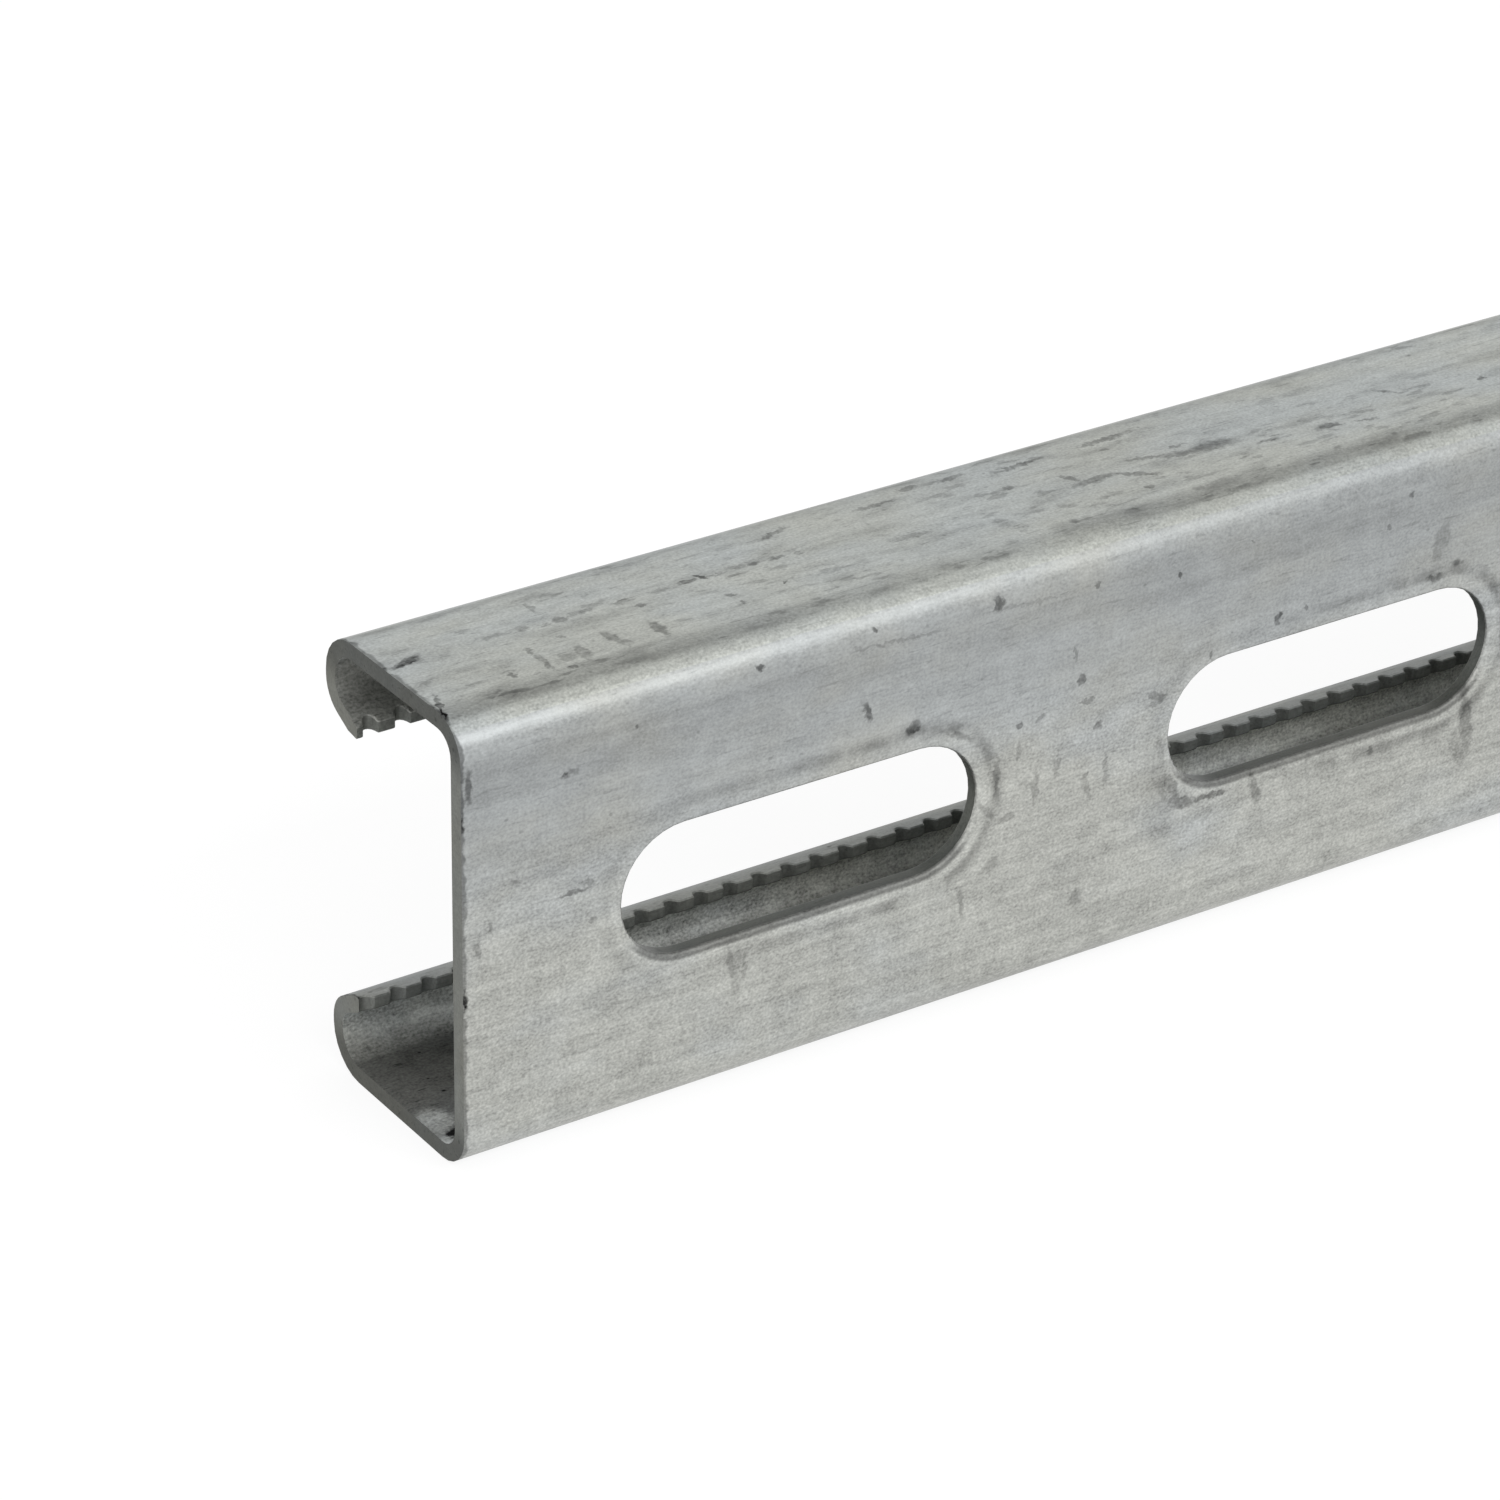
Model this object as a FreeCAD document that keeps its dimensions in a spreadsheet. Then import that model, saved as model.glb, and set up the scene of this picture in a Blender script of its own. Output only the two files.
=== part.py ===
import FreeCAD, Part
import Sketcher
import math
import os

# One metre of slotted strut channel, roll-formed from a single strip of galvanised steel.
# It lies on its lower flange. X runs along the stock, the web stands upright on the -Y side,
# the open side faces +Y, and the floor under the lower flange is Z = 0.

# Millimetres, apart from the two slopes of the lips, which are in degrees.
SIZES = {
    "stock_length": 1000.0,
    "channel_height": 41.0,
    "channel_depth": 21.0,
    "wall": 1.5,
    "web_bend_inside": 2.0,
    "lip_bend_inside": 2.5,
    "lip_face": 0.5,
    "return_bend_inside": 1.6,
    "return_slope": 27.0,
    "lip_reach": 4.85,
    "press_length": 1.45,
    "press_slope": 8.0,
    "tip_thickness": 1.15,
    "tooth_pitch": 2.978,
    "first_notch_below": 0.43,
    "first_notch_above": 1.27,
    "notch_mouth": 1.3,
    "notch_floor": 0.5,
    "notch_depth": 0.85,
    "slot_length": 35.0,
    "slot_width": 12.0,
    "slot_pitch": 55.0,
    "slot_end_margin": 15.0,
}

SKETCH_START = 1
SKETCH_END = 2
CENTRE = 3
ORIGIN = -1
HORIZONTAL_AXIS = -1


def vector(across, up):
    """A point or direction in a sketch's own plane."""
    return FreeCAD.Vector(across, up, 0)


def make_sheet(document):
    """The table of driving sizes, one named cell each."""
    sheet = document.addObject("Spreadsheet::Sheet", "Sizes")
    for row, (name, value) in enumerate(SIZES.items(), start=1):
        sheet.set(f"A{row}", name)
        sheet.set(f"B{row}", str(value))
        sheet.setAlias(f"B{row}", name)
    document.recompute()
    return sheet


def origin_plane(body, role):
    """One of the body's own base planes, such as XY_Plane."""
    for feature in body.Origin.OriginFeatures:
        if feature.Role == role:
            return feature
    raise ValueError(f"no plane {role} in {body.Label}")


def new_sketch(body, name, role):
    """An empty sketch on one of the body's base planes."""
    sketch = body.newObject("Sketcher::SketchObject", name)
    sketch.AttachmentSupport = [(origin_plane(body, role), "")]
    sketch.MapMode = "FlatFace"
    return sketch


def add_line(sketch, start, end):
    return sketch.addGeometry(Part.LineSegment(start, end), False)


def add_arc(sketch, centre, radius, first_angle, last_angle):
    """An arc that runs anticlockwise between two angles in degrees."""
    circle = Part.Circle(centre, FreeCAD.Vector(0, 0, 1), radius)
    arc = Part.ArcOfCircle(circle, math.radians(first_angle), math.radians(last_angle))
    return sketch.addGeometry(arc, False)


def constrain(sketch, kind, *references):
    return sketch.addConstraint(Sketcher.Constraint(kind, *references))


def dimension(sketch, name, expression, kind, *references):
    """A named dimension whose value follows the table of sizes."""
    index = constrain(sketch, kind, *references)
    sketch.renameConstraint(index, name)
    sketch.setExpression(f"Constraints.{name}", expression)


def half_section(body, sheet):
    """The lower half of the channel's section, from the middle of the web to one lip's tip."""
    wall = sheet.wall
    outside = -sheet.channel_depth / 2
    open_side = sheet.channel_depth / 2
    floor = -sheet.channel_height / 2
    web_outer = sheet.web_bend_inside + wall
    lip_outer = sheet.lip_bend_inside + wall
    return_outer = sheet.return_bend_inside + wall
    slope = math.radians(sheet.return_slope)

    # Each lip rises from its bend, then turns in and up as a return, which is pressed flatter
    # on its outside just before the tip.
    bend_centre = vector(open_side - return_outer, floor + lip_outer + sheet.lip_face)
    bend_end = bend_centre.add(vector(math.sin(slope), math.cos(slope)).multiply(return_outer))
    tip_across = open_side - sheet.lip_reach
    press_across = tip_across + sheet.press_length
    press_start = vector(
        press_across, bend_end.y + (bend_end.x - press_across) * math.tan(slope))
    press_rise = sheet.press_length * math.tan(math.radians(sheet.press_slope))
    tip = vector(tip_across, press_start.y + press_rise)
    tip_inside = vector(tip.x, tip.y - sheet.tip_thickness)

    # The inner face of the return is tangent to the inside of that bend.
    reach = bend_centre.sub(tip_inside)
    swing = math.asin(sheet.return_bend_inside / reach.Length)
    inner_angle = math.degrees(math.atan2(reach.y, reach.x) + swing) + 90
    inner_turn = vector(math.cos(math.radians(inner_angle)), math.sin(math.radians(inner_angle)))
    inner_end = bend_centre.add(inner_turn.multiply(sheet.return_bend_inside))

    web_centre = vector(outside + web_outer, floor + web_outer)
    lip_centre = vector(open_side - lip_outer, floor + lip_outer)
    sketch = new_sketch(body, "HalfSection", "YZ_Plane")

    web_face = add_line(sketch, vector(outside, 0), vector(outside, web_centre.y))
    web_bend = add_arc(sketch, web_centre, web_outer, 180, 270)
    under = add_line(sketch, vector(web_centre.x, floor), vector(lip_centre.x, floor))
    lip_bend = add_arc(sketch, lip_centre, lip_outer, 270, 360)
    lip_face = add_line(sketch, vector(open_side, lip_centre.y), vector(open_side, bend_centre.y))
    return_bend = add_arc(sketch, bend_centre, return_outer, 0, 90 - sheet.return_slope)
    return_face = add_line(sketch, bend_end, press_start)
    pressed_face = add_line(sketch, press_start, tip)
    tip_face = add_line(sketch, tip, tip_inside)
    return_inside = add_line(sketch, tip_inside, inner_end)
    return_hollow = add_arc(sketch, bend_centre, sheet.return_bend_inside, 0, inner_angle)
    lip_inside = add_line(
        sketch, vector(open_side - wall, bend_centre.y), vector(open_side - wall, lip_centre.y))
    lip_hollow = add_arc(sketch, lip_centre, sheet.lip_bend_inside, 270, 360)
    over = add_line(sketch, vector(lip_centre.x, floor + wall), vector(web_centre.x, floor + wall))
    web_hollow = add_arc(sketch, web_centre, sheet.web_bend_inside, 180, 270)
    web_inside = add_line(sketch, vector(outside + wall, web_centre.y), vector(outside + wall, 0))
    middle = add_line(sketch, vector(outside + wall, 0), vector(outside, 0))

    for first, first_end, second, second_end in (
            (web_face, SKETCH_END, web_bend, SKETCH_START),
            (web_bend, SKETCH_END, under, SKETCH_START),
            (under, SKETCH_END, lip_bend, SKETCH_START),
            (lip_bend, SKETCH_END, lip_face, SKETCH_START),
            (lip_face, SKETCH_END, return_bend, SKETCH_START),
            (return_bend, SKETCH_END, return_face, SKETCH_START),
            (return_inside, SKETCH_END, return_hollow, SKETCH_END),
            (return_hollow, SKETCH_START, lip_inside, SKETCH_START),
            (lip_inside, SKETCH_END, lip_hollow, SKETCH_END),
            (lip_hollow, SKETCH_START, over, SKETCH_START),
            (over, SKETCH_END, web_hollow, SKETCH_END),
            (web_hollow, SKETCH_START, web_inside, SKETCH_START)):
        constrain(sketch, "Tangent", first, first_end, second, second_end)
    for first, second in ((return_face, pressed_face), (pressed_face, tip_face),
                          (tip_face, return_inside), (web_inside, middle), (middle, web_face)):
        constrain(sketch, "Coincident", first, SKETCH_END, second, SKETCH_START)
    for outer, inner in ((web_bend, web_hollow), (lip_bend, lip_hollow),
                         (return_bend, return_hollow)):
        constrain(sketch, "Coincident", outer, CENTRE, inner, CENTRE)
    for line in (web_face, lip_face, tip_face, lip_inside, web_inside):
        constrain(sketch, "Vertical", line)
    constrain(sketch, "Horizontal", under)
    constrain(sketch, "Horizontal", over)
    constrain(sketch, "PointOnObject", web_face, SKETCH_START, HORIZONTAL_AXIS)
    constrain(sketch, "PointOnObject", web_inside, SKETCH_END, HORIZONTAL_AXIS)

    dimension(sketch, "web_to_middle", "Sizes.channel_depth / 2",
              "DistanceX", web_face, SKETCH_START, ORIGIN, SKETCH_START, -outside)
    dimension(sketch, "floor_to_middle", "Sizes.channel_height / 2",
              "DistanceY", under, SKETCH_START, ORIGIN, SKETCH_START, -floor)
    dimension(sketch, "depth", "Sizes.channel_depth",
              "DistanceX", web_face, SKETCH_END, lip_face, SKETCH_START, sheet.channel_depth)
    dimension(sketch, "thickness", "Sizes.wall",
              "DistanceX", middle, SKETCH_END, middle, SKETCH_START, wall)
    dimension(sketch, "web_radius", "Sizes.web_bend_inside",
              "Radius", web_hollow, sheet.web_bend_inside)
    dimension(sketch, "lip_radius", "Sizes.lip_bend_inside",
              "Radius", lip_hollow, sheet.lip_bend_inside)
    dimension(sketch, "return_radius", "Sizes.return_bend_inside",
              "Radius", return_hollow, sheet.return_bend_inside)
    dimension(sketch, "slope", "(180 - Sizes.return_slope) * 1 deg",
              "Angle", under, SKETCH_START, return_face, SKETCH_START, math.pi - slope)
    dimension(sketch, "press_slope", "(180 - Sizes.press_slope) * 1 deg",
              "Angle", under, SKETCH_START, pressed_face, SKETCH_START,
              math.pi - math.radians(sheet.press_slope))
    dimension(sketch, "press_length", "Sizes.press_length",
              "DistanceX", pressed_face, SKETCH_END, pressed_face, SKETCH_START,
              sheet.press_length)
    dimension(sketch, "lip_face", "Sizes.lip_face",
              "DistanceY", lip_face, SKETCH_START, lip_face, SKETCH_END, sheet.lip_face)
    dimension(sketch, "lip_reach", "Sizes.lip_reach",
              "DistanceX", tip_face, SKETCH_START, lip_face, SKETCH_START, sheet.lip_reach)
    dimension(sketch, "tip_thickness", "Sizes.tip_thickness",
              "DistanceY", tip_face, SKETCH_END, tip_face, SKETCH_START, sheet.tip_thickness)
    return sketch


def notch_outline(body, sheet, name, first_notch):
    """The first notch of a toothed lip, seen from above, with its mouth past the tip's face."""
    tip = sheet.channel_depth / 2 - sheet.lip_reach
    centre = sheet.getPropertyByName(first_notch)
    half_mouth = sheet.notch_mouth / 2
    half_floor = sheet.notch_floor / 2
    bottom = tip + sheet.notch_depth
    front = tip - sheet.notch_depth
    flare = (half_mouth - half_floor) * 2 + half_floor
    sketch = new_sketch(body, name, "XY_Plane")
    front_edge = add_line(sketch, vector(centre - flare, front), vector(centre + flare, front))
    right = add_line(sketch, vector(centre + flare, front), vector(centre + half_floor, bottom))
    back = add_line(sketch, vector(centre + half_floor, bottom), vector(centre - half_floor, bottom))
    left = add_line(sketch, vector(centre - half_floor, bottom), vector(centre - flare, front))
    edges = (front_edge, right, back, left)
    for first, second in zip(edges, edges[1:] + edges[:1]):
        constrain(sketch, "Coincident", first, SKETCH_END, second, SKETCH_START)
    constrain(sketch, "Horizontal", front_edge)
    constrain(sketch, "Horizontal", back)
    constrain(sketch, "Equal", left, right)
    tip_place = "(Sizes.channel_depth / 2 - Sizes.lip_reach)"
    dimension(sketch, "floor_width", "Sizes.notch_floor",
              "DistanceX", back, SKETCH_END, back, SKETCH_START, sheet.notch_floor)
    dimension(sketch, "front_width", "2 * Sizes.notch_mouth - Sizes.notch_floor",
              "DistanceX", front_edge, SKETCH_START, front_edge, SKETCH_END, 2 * flare)
    dimension(sketch, "bottom_place", f"{tip_place} + Sizes.notch_depth",
              "DistanceY", ORIGIN, SKETCH_START, back, SKETCH_START, bottom)
    dimension(sketch, "whole_depth", "2 * Sizes.notch_depth",
              "DistanceY", front_edge, SKETCH_END, back, SKETCH_START, bottom - front)
    dimension(sketch, "side_place", f"Sizes.{first_notch} + Sizes.notch_floor / 2",
              "DistanceX", ORIGIN, SKETCH_START, back, SKETCH_START, centre + half_floor)
    return sketch


def slot_outline(body, sheet):
    """One round-ended slot, centred on the height of the web."""
    radius = sheet.slot_width / 2
    left = sheet.slot_end_margin + radius
    right = sheet.slot_end_margin + sheet.slot_length - radius
    sketch = new_sketch(body, "Slot", "XZ_Plane")
    left_end = add_arc(sketch, vector(left, 0), radius, 90, 270)
    bottom = add_line(sketch, vector(left, -radius), vector(right, -radius))
    right_end = add_arc(sketch, vector(right, 0), radius, -90, 90)
    top = add_line(sketch, vector(right, radius), vector(left, radius))
    edges = (left_end, bottom, right_end, top)
    for first, second in zip(edges, edges[1:] + edges[:1]):
        constrain(sketch, "Tangent", first, SKETCH_END, second, SKETCH_START)
    constrain(sketch, "Equal", left_end, right_end)
    constrain(sketch, "PointOnObject", left_end, CENTRE, HORIZONTAL_AXIS)
    constrain(sketch, "PointOnObject", right_end, CENTRE, HORIZONTAL_AXIS)
    dimension(sketch, "end_radius", "Sizes.slot_width / 2", "Radius", left_end, radius)
    dimension(sketch, "straight", "Sizes.slot_length - Sizes.slot_width",
              "DistanceX", left_end, CENTRE, right_end, CENTRE, right - left)
    dimension(sketch, "from_end", "Sizes.slot_end_margin + Sizes.slot_width / 2",
              "DistanceX", ORIGIN, SKETCH_START, left_end, CENTRE, left)
    return sketch


def repeat_along(body, name, feature, sketch, pitch, count):
    """Copies of a cut at an even pitch along the stock."""
    pattern = body.newObject("PartDesign::LinearPattern", name)
    pattern.Originals = [feature]
    pattern.Direction = (sketch, ["H_Axis"])
    pattern.Mode = "Spacing"
    pattern.setExpression("Offset", pitch)
    pattern.setExpression("Occurrences", count)
    body.Tip = pattern
    return pattern


def make_channel(document, sheet):
    """The whole channel: padded half section, mirrored half, slots, then the toothed lips."""
    body = document.addObject("PartDesign::Body", "strut_channel")
    body.Label = "strut_channel"

    section = half_section(body, sheet)
    half = body.newObject("PartDesign::Pad", "HalfChannel")
    half.Profile = section
    half.setExpression("Length", "Sizes.stock_length")
    section.Visibility = False

    whole = body.newObject("PartDesign::Mirrored", "WholeChannel")
    whole.Originals = [half]
    whole.MirrorPlane = (origin_plane(body, "XY_Plane"), [""])
    body.Tip = whole

    slot_sketch = slot_outline(body, sheet)
    slot = body.newObject("PartDesign::Pocket", "SlotCut")
    slot.Profile = slot_sketch
    slot.SideType = "Symmetric"
    slot.Type = "ThroughAll"
    slot_room = "(Sizes.stock_length - 2 * Sizes.slot_end_margin - Sizes.slot_length)"
    repeat_along(body, "Slots", slot, slot_sketch, "Sizes.slot_pitch",
                 f"floor({slot_room} / Sizes.slot_pitch + 0.001) + 1")

    # Each cut goes out from the middle of the open side, and ends level with the start of its
    # lip's return. The two lips' teeth don't stand opposite each other.
    return_level = "(Sizes.wall + Sizes.lip_bend_inside + Sizes.lip_face)"
    for place, first_notch, upwards in (("Below", "first_notch_below", False),
                                        ("Above", "first_notch_above", True)):
        notch_sketch = notch_outline(body, sheet, f"Notch{place}", first_notch)
        notch = body.newObject("PartDesign::Pocket", f"NotchCut{place}")
        notch.Profile = notch_sketch
        notch.Reversed = upwards
        notch.setExpression("Length", f"Sizes.channel_height / 2 - {return_level}")
        room = f"(Sizes.stock_length - Sizes.{first_notch})"
        repeat_along(body, f"Teeth{place}", notch, notch_sketch, "Sizes.tooth_pitch",
                     f"floor({room} / Sizes.tooth_pitch) + 1")

    # The body is drawn about the middle of its height, with one end at X = 0.
    body.setExpression("Placement.Base.x", "-Sizes.stock_length / 2")
    body.setExpression("Placement.Base.z", "Sizes.channel_height / 2")
    return body


def check(document, bodies):
    """Stop unless every feature worked and every body is one valid solid."""
    for item in document.Objects:
        if "Invalid" in item.State or "Error" in item.State:
            raise RuntimeError(f"{item.Label} failed: {item.State}")
    for body in bodies:
        shape = body.Shape
        if shape.isNull() or not shape.isValid() or len(shape.Solids) != 1:
            raise RuntimeError(f"{body.Label} isn't one valid solid")


def main():
    document = FreeCAD.newDocument("StrutChannel")
    sheet = make_sheet(document)
    bodies = [make_channel(document, sheet)]
    document.recompute()
    check(document, bodies)
    os.makedirs("parts", exist_ok=True)
    for body in bodies:
        box = body.Shape.BoundBox
        print(f"{body.Label}: {box.XLength:.2f} x {box.YLength:.2f} x {box.ZLength:.2f} mm, "
              f"{body.Shape.Volume / 1000:.2f} cm3")
        body.Shape.exportStep(f"parts/{body.Label}.step")


main()
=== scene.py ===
"""Looks of a slotted strut channel: one metre of roll-formed galvanised steel.

It lies on its lower flange. X runs along the stock, the web stands upright on the -Y side and
the open side faces +Y. Shapes and surface patterns are drawn in millimetres.
"""

import logging
import math
from dataclasses import dataclass, field
from enum import IntEnum
from typing import ClassVar

import bmesh
import bpy
from mathutils import Color, Matrix, Vector


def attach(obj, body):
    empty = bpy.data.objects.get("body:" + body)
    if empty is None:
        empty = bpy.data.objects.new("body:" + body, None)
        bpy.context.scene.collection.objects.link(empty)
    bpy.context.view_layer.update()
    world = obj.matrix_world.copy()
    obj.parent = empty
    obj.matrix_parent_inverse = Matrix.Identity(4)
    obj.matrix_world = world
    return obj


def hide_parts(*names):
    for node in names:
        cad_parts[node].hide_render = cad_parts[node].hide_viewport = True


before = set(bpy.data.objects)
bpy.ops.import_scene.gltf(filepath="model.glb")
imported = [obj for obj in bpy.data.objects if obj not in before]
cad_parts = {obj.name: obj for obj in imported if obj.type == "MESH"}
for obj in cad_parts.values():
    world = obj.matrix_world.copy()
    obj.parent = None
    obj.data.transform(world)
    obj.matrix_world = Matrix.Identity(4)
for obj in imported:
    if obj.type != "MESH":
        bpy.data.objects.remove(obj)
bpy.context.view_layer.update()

LOG = logging.getLogger("strut_channel")
METRE = 0.001
# Points closer than this are one, and a cut takes points this close to be on it, in millimetres.
MERGE = 0.001
CUT_REACH = 0.0001
NODE = "strut_channel"
X_AXIS, Y_AXIS, Z_AXIS = Vector((1, 0, 0)), Vector((0, 1, 0)), Vector((0, 0, 1))


class Finish(IntEnum):
    """Which finish a face of the channel takes, as its place in the material list."""

    OUTSIDE = 0
    INSIDE = 1
    SLOT_WALL = 2
    CUT_END = 3
    TEETH = 4
    WEB = 5


class Face(IntEnum):
    """A flat face of the channel that a mark lies on: two outer ones and the lower flange's
    inner one."""

    WEB = 0
    TOP = 1
    FLOOR = 2


# Shapes


class OutlineWalk:
    """Draws a line across the section, one straight or bend after another."""

    def __init__(self, mesh: bmesh.types.BMesh, start: Vector) -> None:
        """Puts down the line's first point.

        Args:
            mesh: The mesh that the line is drawn in.
            start: Where the line starts.
        """
        self.mesh = mesh
        self.end = bmesh.ops.create_vert(mesh, co=start)["vert"][0]

    def straight_to(self, point: Vector) -> None:
        """Goes on in a straight line to a point.

        Args:
            point: Where the line goes.
        """
        step = bmesh.ops.extrude_vert_indiv(self.mesh, verts=[self.end])
        self.end = step["verts"][0]
        self.end.co = point

    def bend(self, centre: Vector, angle: float, steps: int, axis: Vector = X_AXIS) -> None:
        """Goes on round an arc.

        Args:
            centre: The arc's centre.
            angle: How far it turns about the axis, in radians.
            steps: How many edges the arc has.
            axis: The direction that it turns about.
        """
        swept = bmesh.ops.spin(self.mesh, geom=[self.end], cent=centre, axis=axis, angle=angle,
                               steps=steps, dvec=Vector(), use_duplicate=False)
        self.end = next(v for v in swept["geom_last"] if isinstance(v, bmesh.types.BMVert))


@dataclass(frozen=True)
class ToothRow:
    """The rounded notches along the two lips' tips, in millimetres."""

    pitch: float = 2.978
    first_below: float = 0.43
    first_above: float = 1.27
    mouth: float = 1.3
    depth: float = 0.85
    edge_flat: float = 0.12
    # One side of a notch: place as a share of half the mouth, and depth as a share of the whole.
    shape: tuple[tuple[float, float], ...] = (
        (0.0, 1.0), (0.3, 0.96), (0.6, 0.78), (0.82, 0.5), (0.97, 0.18), (1.15, 0.0))

    @property
    def below_middle(self) -> float:
        """How far before its cell's middle the lower lip's notch stands."""
        return (self.first_above - self.first_below) / 2

    def stations(self, shift: float) -> list[tuple[float, float]]:
        """Places across one tooth cell, from its left edge.

        Args:
            shift: How far past the cell's middle the notch stands.

        Returns:
            Pairs of the distance along the lip and how far the tip is set back there.
        """
        side = [(share * self.mouth / 2, deep * self.depth) for share, deep in self.shape]
        whole = [(-along, back) for along, back in reversed(side[1:])] + side
        return [(self.pitch / 2 + shift + along, back) for along, back in whole]


@dataclass(frozen=True)
class Section:
    """Sizes of the channel's section, in millimetres, and its outline."""

    height: float = 41.0
    depth: float = 21.0
    wall: float = 1.5
    web_bend: float = 2.0
    lip_bend: float = 2.5
    lip_face: float = 0.5
    return_bend: float = 1.6
    return_slope: float = math.radians(27.0)
    lip_reach: float = 4.85
    press_length: float = 1.45
    press_slope: float = math.radians(8.0)
    tip_thickness: float = 1.15
    bend_steps: int = 6

    @property
    def outside(self) -> float:
        """Where the web's outer face is, across the channel."""
        return -self.depth / 2

    @property
    def press_start(self) -> Vector:
        """Where the flatter pressed strip starts on the outside of the lower lip's return.

        Returns:
            The point, in the plane X = 0.
        """
        centre = self.return_centre
        radius = self.return_bend + self.wall
        slope = self.return_slope
        end = centre + radius * Vector((0, math.sin(slope), math.cos(slope)))
        across = self.depth / 2 - self.lip_reach + self.press_length
        return Vector((0, across, end.z + (end.y - across) * math.tan(slope)))

    @property
    def tip(self) -> Vector:
        """The outer corner of the lower lip's tip."""
        rise = self.press_length * math.tan(self.press_slope)
        return self.press_start + Vector((0, -self.press_length, rise))

    @property
    def return_centre(self) -> Vector:
        """The centre of the bend from a lip's face into its return."""
        return Vector((0, self.depth / 2 - self.return_bend - self.wall,
                       self.lip_bend + self.wall + self.lip_face))

    def draw_lower_half(self, mesh: bmesh.types.BMesh) -> dict[str, list]:
        """Draws the lower half of the section as one open line, outside first.

        Args:
            mesh: The mesh that the line is drawn in.

        Returns:
            The edges of the inner side, and the two points at the tip.
        """
        web_radius, lip_radius = self.wall + self.web_bend, self.wall + self.lip_bend
        web_centre = Vector((0, self.outside + web_radius, web_radius))
        lip_centre = Vector((0, self.depth / 2 - lip_radius, lip_radius))
        turn, quarter, steps = math.pi / 2 - self.return_slope, math.pi / 2, self.bend_steps
        tip_inside = self.tip - Vector((0, 0, self.tip_thickness))
        reach = self.return_centre - tip_inside
        lean = math.atan2(reach.z, reach.y) + math.asin(self.return_bend / reach.length)
        inner_turn = lean + quarter
        inner_end = self.return_centre + self.return_bend * Vector(
            (0, math.cos(inner_turn), math.sin(inner_turn)))
        inner_root = tip_inside.lerp(inner_end, self.press_length / (inner_end.y - tip_inside.y))

        walk = OutlineWalk(mesh, Vector((0, self.outside, self.height / 2)))
        walk.straight_to(Vector((0, self.outside, web_centre.z)))
        walk.bend(web_centre, quarter, steps)
        walk.straight_to(Vector((0, lip_centre.y, 0)))
        walk.bend(lip_centre, quarter, steps)
        walk.straight_to(Vector((0, self.depth / 2, self.return_centre.z)))
        walk.bend(self.return_centre, turn, steps)
        walk.straight_to(self.press_start)
        walk.straight_to(self.tip)
        outer_tip = walk.end
        outer_side = set(mesh.edges)
        walk.straight_to(tip_inside)
        inner_tip = walk.end
        walk.straight_to(inner_root)
        walk.straight_to(inner_end)
        walk.bend(self.return_centre, -inner_turn, steps)
        walk.straight_to(Vector((0, self.depth / 2 - self.wall, lip_centre.z)))
        walk.bend(lip_centre, -quarter, steps)
        walk.straight_to(Vector((0, web_centre.y, self.wall)))
        walk.bend(web_centre, -quarter, steps)
        walk.straight_to(Vector((0, self.outside + self.wall, self.height / 2)))
        inner = [edge for edge in mesh.edges if edge not in outer_side]
        return {"inner": inner, "tip": [outer_tip, inner_tip]}


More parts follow.
